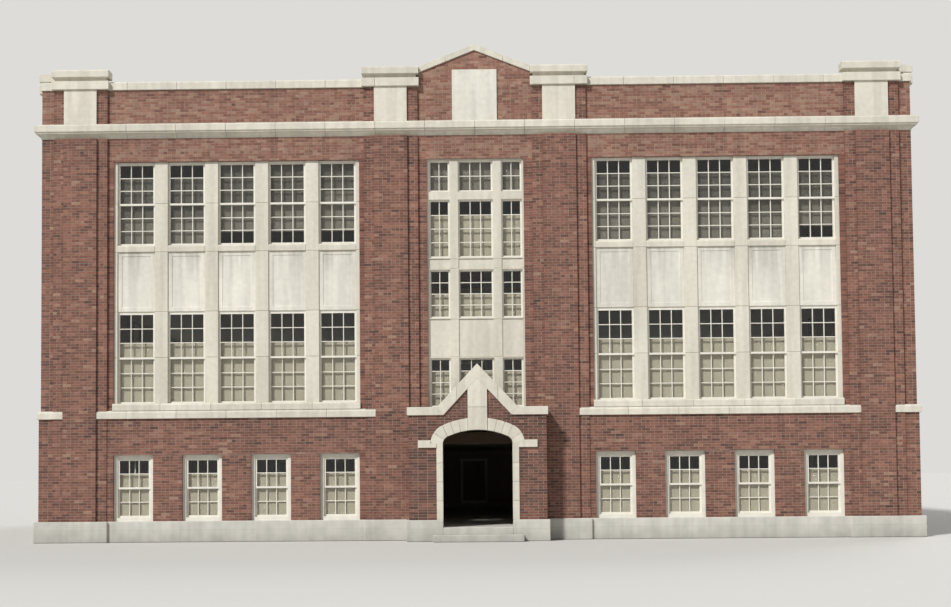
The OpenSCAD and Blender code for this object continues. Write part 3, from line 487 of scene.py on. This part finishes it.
class BrickLayer:
    """Lays fields of bricks into one mesh, with one stream of random tones."""

    def __init__(self, sizes, seed):
        self.joint, self.proud = sizes.joint, sizes.brick_proud
        # at a corner, every other course stops behind the bricks of the next wall
        self.behind_corner = BRICK_DEPTH + self.joint - self.proud
        self.random = random.Random(seed)
        self.wall = bmesh.new()
        self.field = bpy.data.meshes.new("field")

    def lay(self, place, left, right, low, high, out, parity=None, cuts=(), gone=None, pale=0.0):
        """Lays one field in common bond on a wall that stands out this far.

        parity keeps the even or odd courses, cuts are planes that trim the field, gone says of
        a point whether its brick is left out, and pale shifts the tones.
        """
        left, right = left - self.joint / 2, right + self.joint / 2
        beds = bed_levels(low, high)
        rows, halves = len(beds) - 1, max(1, round((right - left) / BRICK_HALF))
        step = (right - left) / halves
        bm = bmesh.new()
        tone = bm.verts.layers.float.new("tone")
        bmesh.ops.create_grid(bm, x_segments=halves, y_segments=rows, size=0.5)
        for v in bm.verts:
            v.co = (left + round((v.co.x + 0.5) * halves) * step, BRICK_DEPTH - self.proud - out,
                    beds[round((v.co.y + 0.5) * rows)])
        inside = []
        for e in bm.edges:
            a, b = (v.co for v in e.verts)
            if abs(a.x - b.x) < step / 2:
                column, course = round((a.x - left) / step), course_of((a.z + b.z) / 2)
                headers = course % HEADER_EVERY == HEADER_EVERY - 1
                if 0 < column < halves and not headers and (column + course) % 2:
                    inside.append(e)
        if inside:
            bmesh.ops.dissolve_edges(bm, edges=inside)
        for point, outward in cuts:
            cut_plane(bm, point, outward, NEAR, clear_outer=True)
        left_out = [f for f in bm.faces if is_left_out(f, parity, gone)]
        if left_out:
            bmesh.ops.delete(bm, geom=left_out, context="FACES")
        if bm.faces:
            rims = bmesh.ops.inset_individual(bm, faces=bm.faces[:], thickness=self.joint / 2,
                                              use_even_offset=True)["faces"]
            bmesh.ops.delete(bm, geom=rims, context="FACES")
            bmesh.ops.dissolve_limit(bm, angle_limit=FLAT, verts=bm.verts[:], edges=bm.edges[:])
            # the faces come in another order each run, so the tones are drawn by their places
            for f in sorted(bm.faces, key=lambda f: [round(c, 3) for c in f.calc_center_median().zx]):
                shade = min(max(self.random.gauss(pale, TONE_SPREAD), -0.5), 0.5)
                for v in f.verts:
                    v[tone] = shade
            backs = bm.faces[:]
            raised = bmesh.ops.extrude_face_region(bm, geom=backs, use_keep_orig=True)["geom"]
            bmesh.ops.translate(bm, verts=[g for g in raised if isinstance(g, bmesh.types.BMVert)],
                                vec=(0, -BRICK_DEPTH, 0))
            bmesh.ops.reverse_faces(bm, faces=backs)
            bmesh.ops.transform(bm, matrix=place, verts=bm.verts[:])
            bm.to_mesh(self.field)
            self.wall.from_mesh(self.field)
        bm.free()

    def between(self, place, left, right, openings, low, high, out):
        """Lays the piers between openings, each opening given by its middle and half width."""
        stops = [left] + [middle + side * (half - self.proud)
                          for middle, half in openings for side in (-1, 1)] + [right]
        for a, b in zip(stops[0::2], stops[1::2]):
            self.lay(place, a, b, low, high, out)

    def column(self, place, middle, half, low, high, out):
        """Lays a pilaster or strip, whose end bricks stand out as far as its face does."""
        reach = half + self.proud
        self.lay(place, middle - reach, middle + reach, low, high, out)


def lay_wall(layer, face):
    """Every field of brick on one wall of the building."""
    place, pilasters, long_wall = FACES[face], PILASTERS[face], face in ("front", "rear")
    half = HALF_W if long_wall else HALF_D
    for x in pilasters:
        strips = [x + side * (PILASTER_HALF + STRIP_W / 2) for side in (-1, 1)]
        layer.column(place, x, PILASTER_HALF, FOUNDATION, BELT, PILASTER_OUT)
        for strip in strips:
            # below the belt the porch stands in front of the inner strips
            if face != "front" or abs(x) != ENTRANCE_PILASTER or abs(strip) > abs(x):
                layer.column(place, strip, STRIP_W / 2, FOUNDATION, BELT, STRIP_OUT)
        layer.column(place, x, PILASTER_HALF, BELT, CORNICE, PILASTER_OUT)
        for strip in strips:
            for low, high in ((BELT_TOP, CORNICE), (PARAPET, PARAPET_TOP)):
                layer.column(place, strip, STRIP_W / 2, low, high, STRIP_OUT)

    # Fields between the pilasters
    edges = [-half] + [x + side * PIER_HALF for x in pilasters for side in (-1, 1)] + [half]
    for left, right in zip(edges[0::2], edges[1::2]):
        if -left == half or right == half:
            side, inner = (1, left) if right == half else (-1, -right)
            for parity in (0, 1):
                reach = layer.proud if (parity == 0) == long_wall else -layer.behind_corner
                for low, high, out, pale in ((FOUNDATION, BELT, BASE_OUT, 0.0),
                                             (BELT_TOP, CORNICE, 0.0, 0.0),
                                             (PARAPET, PARAPET_TOP, 0.0, UPPER_PALE)):
                    layer.lay(place, *mirrored(side, inner, half + out + reach), low, high, out,
                              parity=parity, pale=pale)
            continue
        windows = [(x, BASEMENT_W / 2) for x in basement_windows(face) if left < x < right]
        if windows:
            layer.between(place, left, right, windows, FOUNDATION, BASEMENT_HEAD, BASE_OUT)
            layer.lay(place, left, right, BASEMENT_HEAD, BELT, BASE_OUT)
        groups = [(x, group_half(count)) for x, count in GROUPS[face] if left < x < right]
        layer.between(place, left, right, groups or [(0.0, STAIR_HALF)], BELT_TOP, WINDOW_HEAD, 0.0)
        layer.lay(place, left, right, WINDOW_HEAD, CORNICE, 0.0, pale=UPPER_PALE)
        if groups:
            layer.lay(place, left, right, PARAPET, PARAPET_TOP, 0.0, pale=UPPER_PALE)


def lay_gable(layer):
    """The brick of the roof gable round its bare tablet, cut to the slopes of the coping."""
    cuts = [rake(GABLE_APEX, GABLE_SHOULDER, GABLE_HALF, side) for side in (-1, 1)]
    tablet_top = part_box("gable_tablet")[1].z

    def behind_tablet(point):
        return abs(point.x) < TABLET_HALF - BRICK_HALF and point.z < tablet_top - COURSE / 2

    # below the caps the brick runs on to the strips beside the gable
    narrower = FOUNDATION + COURSE * course_of(PARAPET_TOP + COURSE)
    for half, low, high in ((ENTRANCE_PILASTER - PIER_HALF, PARAPET, narrower),
                            (GABLE_HALF, narrower, GABLE_APEX)):
        layer.lay(FACES["front"], -half, half, low, high, 0.0, cuts=cuts, gone=behind_tablet,
                  pale=UPPER_PALE)


def lay_porch(layer):
    """The porch: its front with the steep gable, its side walls, and the walls inside it."""
    front, inside = FACES["front"], PORCH_HALF - PORCH_WALL

    def in_arch(point):
        above = max(point.z - ARCH_SPRING, 0.0)
        return (point.x / ARCH_HALF) ** 2 + (above / ARCH_RISE) ** 2 < 1.0

    for side in (-1, 1):
        for parity in (0, 1):
            reach = -layer.behind_corner if parity else layer.proud
            layer.lay(front, *mirrored(side, JAMB_STONE, PORCH_HALF + reach), FOUNDATION,
                      PORCH_SHOULDER, PORCH_OUT, parity=parity, gone=in_arch, pale=PORCH_PALE)
    for side in (-1, 1):
        crown = mirrored(side, CROWN_HALF, JAMB_STONE)
        for low, high, cuts in (
                (IMPOST, PORCH_SHOULDER, ()),
                (PORCH_SHOULDER, RAKE_APEX, (rake(RAKE_APEX, PORCH_SHOULDER, RAKE_FOOT, side),))):
            layer.lay(front, *crown, low, high, PORCH_OUT, cuts=cuts, gone=in_arch, pale=PORCH_PALE)
    # Side walls and the walls inside, each turned to its own plane
    for side in (-1, 1):
        outer = wall_frame(side * PORCH_HALF, -HALF_D - PORCH_OUT, side)
        for parity in (0, 1):
            start = -layer.proud if parity else layer.behind_corner
            layer.lay(outer, *mirrored(side, start, PORCH_OUT - BASE_OUT), FOUNDATION,
                      PORCH_SHOULDER, 0.0, parity=parity, pale=PORCH_PALE)
        layer.lay(wall_frame(side * inside, -HALF_D, -side), *mirrored(side, 0.0, PORCH_CHEEK),
                  FOUNDATION, PORCH_CEILING, 0.0)
    layer.between(front, -inside, inside, [(0.0, DOOR_HALF)], FOUNDATION, DOOR_HEAD, 0.0)
    layer.lay(front, -inside, inside, DOOR_HEAD, PORCH_CEILING, 0.0)


# Stonework

def saw(bm, axis, at, gap):
    """Opens a joint square to an axis and closes the ends of the stones."""
    normal = Vector()
    normal[axis] = 1.0
    for side in (-1, 1):
        cut_plane(bm, normal * (at + side * gap / 2), normal, TOUCHING)
    dust = [f for f in bm.faces if abs(f.calc_center_median()[axis] - at) < gap / 2 - NEAR]
    if dust:
        bmesh.ops.delete(bm, geom=dust, context="FACES")
        ends = [e for e in bm.edges if len(e.link_faces) == 1]
        bmesh.ops.holes_fill(bm, edges=ends, sides=0)


def stones_of(bm):
    """The faces of each separate stone."""
    left = set(bm.faces)
    while left:
        stone, edge_of = [], [left.pop()]
        while edge_of:
            face = edge_of.pop()
            stone.append(face)
            for e in face.edges:
                for other in e.link_faces:
                    if other in left:
                        left.remove(other)
                        edge_of.append(other)
        yield stone


def dress_stones(name, node, cuts, sizes, material, seed, ease=1.0):
    """Copies a course of stone, saws it into stones and eases their arrises."""
    bm = bmesh.new()
    bm.from_mesh(frame["nodes"][node].data)
    bmesh.ops.remove_doubles(bm, verts=bm.verts[:], dist=NEAR)
    bmesh.ops.dissolve_limit(bm, angle_limit=FLAT, verts=bm.verts[:], edges=bm.edges[:])
    for axis, at in cuts:
        saw(bm, axis, at, sizes.stone_joint)
    sharp = [e for e in bm.edges if len(e.link_faces) == 2 and e.calc_face_angle() > ARRIS_TURN]
    chamfer_edges(bm, sharp, sizes.arris * ease, clamp_overlap=True)
    tone = bm.verts.layers.float.new("tone")
    draw = random.Random(seed)
    for stone in sorted(stones_of(bm), key=lambda s: tuple(round(c, 3) for c in mean_point(s))):
        shade = draw.uniform(-0.5, 0.5)
        for face in stone:
            for v in face.verts:
                v[tone] = shade
    bmesh.ops.recalc_face_normals(bm, faces=bm.faces[:])
    new_piece(name, bm, material, (node,))


def mean_point(faces):
    """The middle of a stone."""
    return sum((face.calc_center_median() for face in faces), Vector()) / len(faces)


def spaced(first, last, length):
    """Places of the joints that cut a run into stones of about this length."""
    count = max(1, round((last - first) / length))
    return [first + (last - first) * i / count for i in range(1, count)]


# Joinery

CHAMFER_SHARE = 0.3     # of a bar's width
CROSS_BAR_STEP = 0.001  # how far a cross bar's face lies behind the uprights


def square_bar(bm, low, high, chamfer):
    """A bar between two corners, with its outdoor edges chamfered."""
    low, high = Vector(low), Vector(high)
    size = high - low
    made = bmesh.ops.create_cube(bm, size=1.0, matrix=Matrix.Translation((low + high) / 2)
                                 @ Matrix.Diagonal((*size, 1.0)))["verts"]
    if chamfer:
        front = [e for e in {e for v in made for e in v.link_edges}
                 if all(abs(v.co.y - low.y) < TOUCHING for v in e.verts)
                 and e.calc_length() > max(size) / 2]
        chamfer_edges(bm, front, chamfer)


def lattice(width, height, columns, rows, bar):
    """The bars of one leaf, around its own middle, from the foot up."""
    bm = bmesh.new()
    upright, across, chamfer = BAR_D / 2, BAR_D / 2 - CROSS_BAR_STEP, bar * CHAMFER_SHARE
    for i in range(1, columns):
        x = -width / 2 + width * i / columns
        square_bar(bm, (x - bar / 2, -upright, 0), (x + bar / 2, upright, height), chamfer)
    for j in range(1, rows):
        z = height * j / rows
        square_bar(bm, (-width / 2, -across, z - bar / 2), (width / 2, across, z + bar / 2), chamfer)
    return mesh_of("lattice", bm)


def stamp(bm, mesh, place):
    """Adds a copy of a mesh at a place."""
    before = len(bm.verts)
    bm.from_mesh(mesh)
    bm.verts.ensure_lookup_table()
    bmesh.ops.transform(bm, matrix=place, verts=bm.verts[before:])


# What a user may change

def metres(name, description, default):
    """A size of a detail."""
    return FloatProperty(name=name, description=description, default=default, unit="LENGTH")


def tint(name, description, default):
    """A colour of a finish."""
    return FloatVectorProperty(name=name, description=description, default=srgb(default),
                               subtype="COLOR", size=4)


class SchoolSizes(bpy.types.PropertyGroup):
    """Sizes of the masonry and joinery details."""

    joint: metres("Mortar joint", "Width of the joint between bricks", 0.010)
    brick_proud: metres("Brick face", "How far bricks stand out of the mortar", 0.004)
    stone_joint: metres("Stone joint", "Width of the joint between stones", 0.005)
    stone_length: metres("Stone length", "Usual length of a course stone", 1.25)
    arris: metres("Arris", "Width of the eased edge of a stone", 0.006)
    bar: metres("Glazing bar", "Width of a glazing bar", 0.023)
    shade_gap: metres("Shade clearance", "Gap between a shade and its frame", 0.006)


class SchoolColours(bpy.types.PropertyGroup):
    """Colours of the finishes."""

    brick: tint("Face brick", "Usual tone of the face bricks", "#825648")
    stone: tint("Limestone", "Trim stone", "#d6d0c1")
    panel: tint("Panels", "Stone of the panels between the storeys", "#dedacd")
    concrete: tint("Concrete", "Foundation and steps", "#d3d0c6")
    paint: tint("Joinery paint", "Sashes and frames", "#e4e0d3")
    light_shade: tint("Light shades", "Shades of the lower storeys", "#a39b87")
    grey_shade: tint("Grey shades", "Shades of the lower sashes upstairs", "#686256")
    buff_shade: tint("Buff shades", "Shades of the upper sashes", "#484339")


# Operators

PICTURE_W, PICTURE_H = 951, 607
# Where the photographer stood, and the yaw, pitch and roll of the camera in degrees
CAMERA_PLACE, CAMERA_TURN = (-0.28, -45.15, 1.70), (0.767, 2.674, -0.468)
FOCAL, CENTRE_X, CENTRE_Y = 1453.8, 446.4, 403.3        # in pixels of the picture
CLIP = 0.5, 1500.0


class SCHOOL_OT_camera(bpy.types.Operator):
    """Sets up the camera where the photographer stood"""

    bl_idname = "school.camera"
    bl_label = "Camera"

    def execute(self, context):
        yaw, pitch, roll = (math.radians(angle) for angle in CAMERA_TURN)
        turn = (Matrix.Rotation(yaw, 4, "Z") @ Matrix.Rotation(math.pi / 2 + pitch, 4, "X")
                @ Matrix.Rotation(roll, 4, "Z"))
        data = bpy.data.cameras.new("camera")
        data.lens = FOCAL / PICTURE_W * data.sensor_width
        data.shift_x = (PICTURE_W / 2 - CENTRE_X) / PICTURE_W
        data.shift_y = (CENTRE_Y - PICTURE_H / 2) / PICTURE_W
        data.clip_start, data.clip_end = CLIP
        camera = add_object("camera", data)
        camera.matrix_world = Matrix.Translation(CAMERA_PLACE) @ turn
        bpy.context.scene.camera = camera
        return {"FINISHED"}


class SCHOOL_OT_cad_finishes(bpy.types.Operator):
    """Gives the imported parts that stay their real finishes"""

    bl_idname = "school.cad_finishes"
    bl_label = "Finishes of the packed parts"

    def execute(self, context):
        colours = context.scene.school_colours
        finishes = {"brick": brick_backing(colours),
                    "concrete": board_marked_concrete(colours.concrete),
                    "painted_wood": oil_painted_pine(colours.paint),
                    "window_glass": drawn_sheet_glass(),
                    "roofing": gravelled_felt(),
                    "floor": worn_pine_boards()}
        for part in frame["record"]["subparts"]:
            node = frame["nodes"][part["node"]]
            if part["material_slot"] in finishes:
                for material_slot in node.material_slots:
                    material_slot.material = finishes[part["material_slot"]]
            if part["material_slot"] == "window_glass":
                node.visible_shadow = node.visible_diffuse = False
        return {"FINISHED"}


class SCHOOL_OT_brickwork(bpy.types.Operator):
    """Lays the face bricks of the four walls, the roof gable and the porch"""

    bl_idname = "school.brickwork"
    bl_label = "Brickwork"

    def execute(self, context):
        sizes = context.scene.school_sizes
        material = fired_face_brick(context.scene.school_colours)
        for seed, face in enumerate(FACES, WALL_SEED):
            layer = BrickLayer(sizes, seed)
            lay_wall(layer, face)
            if face == "front":
                lay_gable(layer)
            new_piece("bricks_" + face, layer.wall, material)
        layer = BrickLayer(sizes, PORCH_SEED)
        lay_porch(layer)
        new_piece("bricks_porch", layer.wall, material)
        return {"FINISHED"}


# Sizes of the corner and jamb stones, and how much more than stone the concrete is eased
CORNER_STONE, JAMB_STONE_H, CONCRETE_EASE = 0.9, 0.46, 2.5
# Heights of the joints in upright stones, and how far off the middle the copings are jointed
MULLION_JOINTS = (4.590, FIRST_HEAD, UPPER_SILL, 8.455)
STAIR_JOINTS, KEYSTONE_JOINTS = (4.54, 5.48, 6.75, 6.99), (3.25,)
GABLE_JOINT, PORCH_GABLE_JOINT = 0.72, 0.5


def joints(axis, places):
    """Joints square to one axis, for saw."""
    return [("XYZ".index(axis), place) for place in places]


class SCHOOL_OT_stonework(bpy.types.Operator):
    """Saws the courses into stones and eases their edges"""

    bl_idname = "school.stonework"
    bl_label = "Stonework"

    def execute(self, context):
        sizes, colours = context.scene.school_sizes, context.scene.school_colours
        stone = rubbed_limestone("rubbed_limestone", colours.stone)
        panel = rubbed_limestone("rubbed_panel_limestone", colours.panel, PANEL_LEDGES)
        tablet = rubbed_limestone("rubbed_tablet_limestone", colours.panel)
        round_wall = [joint for axis, half in (("X", HALF_W), ("Y", HALF_D)) for joint in joints(
            axis, spaced(CORNER_STONE - half, half - CORNER_STONE, sizes.stone_length))]
        sills = joints("X", mullion_middles("front")) + joints("Y", mullion_middles("left"))
        jobs = (
            ("cornice_stones", "cornice", round_wall),
            ("belt_stones", "belt_course", round_wall),
            ("coping_stones", "parapet_coping", round_wall),
            ("sill_stones", "window_sills", sills),
            ("mullion_stones", "window_mullions", joints("Z", MULLION_JOINTS)),
            ("panel_stones", "spandrel_panels", ()),
            ("stair_window_stones", "stair_window_frame", joints("Z", STAIR_JOINTS)),
            ("pier_block_stones", "pier_blocks", ()),
            ("pier_cap_stones", "pier_caps", ()),
            ("gable_coping_stones", "gable_coping", joints("X", (-GABLE_JOINT, GABLE_JOINT))),
            ("tablet_stone", "gable_tablet", ()),
            ("jamb_stones", "porch_jambs",
             joints("Z", spaced(FOUNDATION, ARCH_SPRING, JAMB_STONE_H))),
            ("impost_stones", "porch_imposts", ()),
            ("arch_voussoirs", "arch_stones", ()),
            ("keystone_stone", "porch_keystone", joints("Z", KEYSTONE_JOINTS)),
            ("porch_gable_coping_stones", "porch_gable_coping",
             joints("X", (-PORCH_GABLE_JOINT, PORCH_GABLE_JOINT))),
            ("porch_shoulder_stones", "porch_shoulder_copings", ()),
        )
        bare = {"panel_stones": panel, "tablet_stone": tablet}
        for seed, (name, node, cuts) in enumerate(jobs, STONE_SEED):
            dress_stones(name, node, cuts, sizes, bare.get(name, stone), seed)
        for seed, (name, node) in enumerate((
                ("foundation_concrete", "foundation_walls"),
                ("porch_foundation_concrete", "porch_foundations"),
                ("entrance_step_concrete", "entrance_step"),
                ("entrance_floor_concrete", "entrance_floor")), CONCRETE_SEED):
            dress_stones(name, node, (), sizes, bpy.data.materials["board_marked_concrete"], seed,
                         CONCRETE_EASE)
        return {"FINISHED"}


class SCHOOL_OT_glazing_bars(bpy.types.Operator):
    """Puts the glazing bars in the sashes, three panes wide, and in the stair window"""

    bl_idname = "school.glazing_bars"
    bl_label = "Glazing bars"

    def execute(self, context):
        bar, paint = context.scene.school_sizes.bar, bpy.data.materials["oil_painted_pine"]
        for storey, (middles, (width, sill, head, rows), back) in STOREYS.items():
            leaf = (head - sill + SASH_W) / 2
            mesh = lattice(width - 2 * SASH_W, leaf - 2 * SASH_W, 3, rows // 2, bar)
            bm = bmesh.new()
            for face, place in FACES.items():
                for x in middles(face):
                    # the upper leaf hangs in front of the lower one
                    for foot, y in ((head - leaf + SASH_W, back + SASH_D / 2),
                                    (sill + SASH_W, back + SASH_D * 1.5)):
                        stamp(bm, mesh, place @ Matrix.Translation((x, y, foot)))
            new_piece(storey + "_bars", bm, paint)
        bm = bmesh.new()
        for x, width, columns in STAIR_LIGHTS:
            for low, high, rows in STAIR_ROWS:
                mesh = lattice(width - 2 * STAIR_SASH_W, high - low - 2 * STAIR_SASH_W, columns,
                               rows, bar)
                stamp(bm, mesh, FACES["front"] @ Matrix.Translation(
                    (x, SASH_BACK + SASH_D / 2, low + STAIR_SASH_W)))
        new_piece("stair_window_bars", bm, paint)
        return {"FINISHED"}


CLOTH, CLOTH_FOLD, CLOTH_SWAY = 0.001, 0.005, 0.002
FOLDS, SWAYS = 3 * math.pi, 9       # the turns of a fold across a shade and of a sway down it


def hang_shades(name, face, cloth, back, lights, drops, gap):
    """Makes the shades of one storey as one mesh, each bowed a little by its own roller."""
    shades = [(x, width - 2 * gap, *(head - (head - sill) / rows * row for row in drop))
              for (x, width, sill, head, rows), drop in zip(lights, itertools.cycle(drops))]
    bm = bmesh.new()
    for i, (x, width, top, foot) in enumerate(shades):
        for v in bmesh.ops.create_grid(bm, x_segments=6, y_segments=12, size=0.5)["verts"]:
            u, w = v.co.x, v.co.y + 0.5
            bow = CLOTH_FOLD * math.cos(u * FOLDS) * (1 - w) + CLOTH_SWAY * math.sin(w * SWAYS + i)
            v.co = (x + u * width, back + bow, foot + w * (top - foot))
    bmesh.ops.transform(bm, matrix=FACES[face], verts=bm.verts[:])
    piece = new_piece(name, bm, cloth)
    piece.modifiers.new("cloth thickness", "SOLIDIFY").thickness = CLOTH


class SCHOOL_OT_shades(bpy.types.Operator):
    """Hangs the roller shades behind the glass, at the heights that the photograph shows"""

    bl_idname = "school.shades"
    bl_label = "Roller shades"

    def execute(self, context):
        gap, colours = context.scene.school_sizes.shade_gap, context.scene.school_colours
        light = holland_cloth("light_holland_cloth", colours.light_shade)
        buff = holland_cloth("buff_holland_cloth", colours.buff_shade)
        grey = holland_cloth("grey_holland_cloth", colours.grey_shade)
        # each shade's top and foot, counted in rows of panes from the head of its window
        upper = [(1, 4), (1, 4), (0, 3), (0, 3), (0, 2)] + [(1, 3)] * 3 + [(1, 4), (1, 3)]
        lower = [(4, 6), (4, 6), (3, 5), (3, 5), (2, 5)] + [(3, 6)] * 3 + [(4, 6), (3, 5)]
        # the shade in the middle of the rear wall is down, where the entrance looks through
        middle_down = [(2, 6)] * 5 + [(0, 6)]
        for face in FACES:
            front, rear = face == "front", face == "rear"
            for storey, leaf, cloth, back, drops in (
                    ("first_floor", "", light, ROOM_BACK, middle_down if rear else [(2, 6)]),
                    ("second_floor", "upper_", buff, ROOM_BACK, upper if front else [(0, 3)]),
                    ("second_floor", "lower_", grey, ROOM_BACK + SHADE_STEP,
                     lower if front else [(3, 5)]),
                    ("basement", "", light, BASEMENT_SHADE_BACK, [(0, 4)] if rear else [(1, 4)])):
                middles, opening = STOREYS[storey][:2]
                hang_shades(storey + "_" + leaf + "shades_" + face, face, cloth, back,
                            [(x, *opening) for x in middles(face)], drops, gap)
        for name, cloth, tiers, drops in (
                ("stair_window_shades", light, STAIR_ROWS[:-1], [(1, 4)] * 3 + [(2, 4)] * 3),
                ("stair_window_top_shades", grey, STAIR_ROWS[-1:], [(0, 2)])):
            lights = [(x, width, low, high, rows)
                      for low, high, rows in tiers for x, width, columns in STAIR_LIGHTS]
            hang_shades(name, "front", cloth, ROOM_BACK, lights, drops, gap)
        return {"FINISHED"}


FELT_STRIPS, FELT_LAP = 22, 0.06
FELT_LOWER, FELT_UPPER, FELT_BEDDED = 0.006, 0.018, 0.02
FLASHING_OUT, FLASHING_LOW, FLASHING_H, LEAD = 0.12, 0.012, 0.22, 0.003


class SCHOOL_OT_roof(bpy.types.Operator):
    """Covers the roof deck with lapped felt and flashes it against the parapet"""

    bl_idname = "school.roof"
    bl_label = "Roof covering"

    def execute(self, context):
        low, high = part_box("roof_slab")
        bm = bmesh.new()
        tone = bm.verts.layers.float.new("tone")
        draw = random.Random(FELT_SEED)
        width = (high.x - low.x) / FELT_STRIPS
        for i in range(FELT_STRIPS):
            # every other strip lies on top and laps over its neighbours
            lap, rise = (FELT_LAP, FELT_UPPER) if i % 2 else (0.0, FELT_LOWER)
            left = low.x + i * width
            before = len(bm.verts)
            square_bar(bm, (max(left - lap, low.x), low.y, ROOF - FELT_BEDDED),
                       (min(left + width + lap, high.x), high.y, ROOF + rise), 0.0)
            bm.verts.ensure_lookup_table()
            shade = draw.uniform(-0.5, 0.5)
            for v in bm.verts[before:]:
                v[tone] = shade
        new_piece("roofing_felt", bm, bpy.data.materials["gravelled_roofing_felt"])
        bm = bmesh.new()
        inner = (HALF_W - PARAPET_WALL, HALF_D - PARAPET_WALL)
        for axis, side in ((0, -1), (0, 1), (1, -1), (1, 1)):
            for v in bmesh.ops.create_grid(bm, x_segments=1, y_segments=1, size=0.5)["verts"]:
                along, up = v.co.x * 2 * inner[1 - axis], v.co.y + 0.5
                away = side * (inner[axis] - FLASHING_OUT * (1 - up))
                height = ROOF + FLASHING_LOW + FLASHING_H * up
                v.co = (along, away, height) if axis else (away, along, height)
        bmesh.ops.recalc_face_normals(bm, faces=bm.faces[:])
        piece = new_piece("parapet_flashing", bm, lead_flashing())
        piece.modifiers.new("sheet thickness", "SOLIDIFY").thickness = LEAD
        return {"FINISHED"}


FLOOR_REACH, FLOOR_BELOW = 400.0, 0.002
# Each sun's name, strength and, in degrees, its softness, tilt from overhead and turn
SUNS = (("key", 3.5, 6, 48, -38), ("back", 0.9, 25, 50, 150))


class SCHOOL_OT_stage(bpy.types.Operator):
    """Lays the plain floor and sets the soft light"""

    bl_idname = "school.stage"
    bl_label = "Stage"

    def execute(self, context):
        bm = bmesh.new()
        bmesh.ops.create_grid(bm, x_segments=1, y_segments=1, size=FLOOR_REACH)
        bmesh.ops.translate(bm, verts=bm.verts[:], vec=(0, 0, -FLOOR_BELOW))
        pale = begin("pale_floor", 0.9, Base_Color=srgb("#c6c4bf"))[0]
        floor = add_object("floor", mesh_of("floor", bm, pale))
        for name, energy, softness, tilt, turn in SUNS:
            sun = bpy.data.lights.new(name, "SUN")
            sun.energy, sun.angle = energy, math.radians(softness)
            add_object(name, sun).rotation_euler = (math.radians(tilt), 0, math.radians(turn))
        world = bpy.data.worlds.new("studio")
        world.use_nodes = True
        bpy.context.scene.world = world
        tree = world.node_tree
        tree.nodes.clear()
        soft = put(tree, "Background", {"Color": srgb("#f1f4f8"), "Strength": 0.34})
        seen = put(tree, "Background", {"Color": srgb("#dddcd8"), "Strength": 1.0})
        direct = 0.0
        for kind in ("Camera", "Glossy", "Transmission"):
            ray = put(tree, "LightPath", out="Is " + kind + " Ray")
            direct = put(tree, "Math", {0: direct, 1: ray}, operation="MAXIMUM")
        put(tree, "OutputWorld", {"Surface": put(tree, "MixShader", {0: direct, 1: soft, 2: seen})})
        bpy.context.scene.view_settings.view_transform = "Standard"
        return {"FINISHED"}


OPERATORS = (SCHOOL_OT_camera, SCHOOL_OT_cad_finishes, SCHOOL_OT_brickwork, SCHOOL_OT_stonework,
             SCHOOL_OT_glazing_bars, SCHOOL_OT_shades, SCHOOL_OT_roof, SCHOOL_OT_stage)


class SCHOOL_PT_panel(bpy.types.Panel):
    """Lists the steps that dress the school"""

    bl_label = "School building"
    bl_idname = "SCHOOL_PT_panel"
    bl_space_type = "VIEW_3D"
    bl_region_type = "UI"
    bl_category = "School"

    def draw(self, context):
        for group in (context.scene.school_sizes, context.scene.school_colours):
            for key in group.__annotations__:
                self.layout.prop(group, key)
        for operator in OPERATORS:
            self.layout.operator(operator.bl_idname)


CLASSES = (SchoolSizes, SchoolColours) + OPERATORS + (SCHOOL_PT_panel,)


def register():
    for cls in CLASSES:
        bpy.utils.register_class(cls)
    bpy.types.Scene.school_sizes = PointerProperty(type=SchoolSizes)
    bpy.types.Scene.school_colours = PointerProperty(type=SchoolColours)


def unregister():
    del bpy.types.Scene.school_colours
    del bpy.types.Scene.school_sizes
    for cls in reversed(CLASSES):
        bpy.utils.unregister_class(cls)


def main():
    """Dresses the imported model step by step."""
    register()
    for operator in OPERATORS:
        group, name = operator.bl_idname.split(".")
        getattr(getattr(bpy.ops, group), name)()


if __name__ == "__main__":
    main()
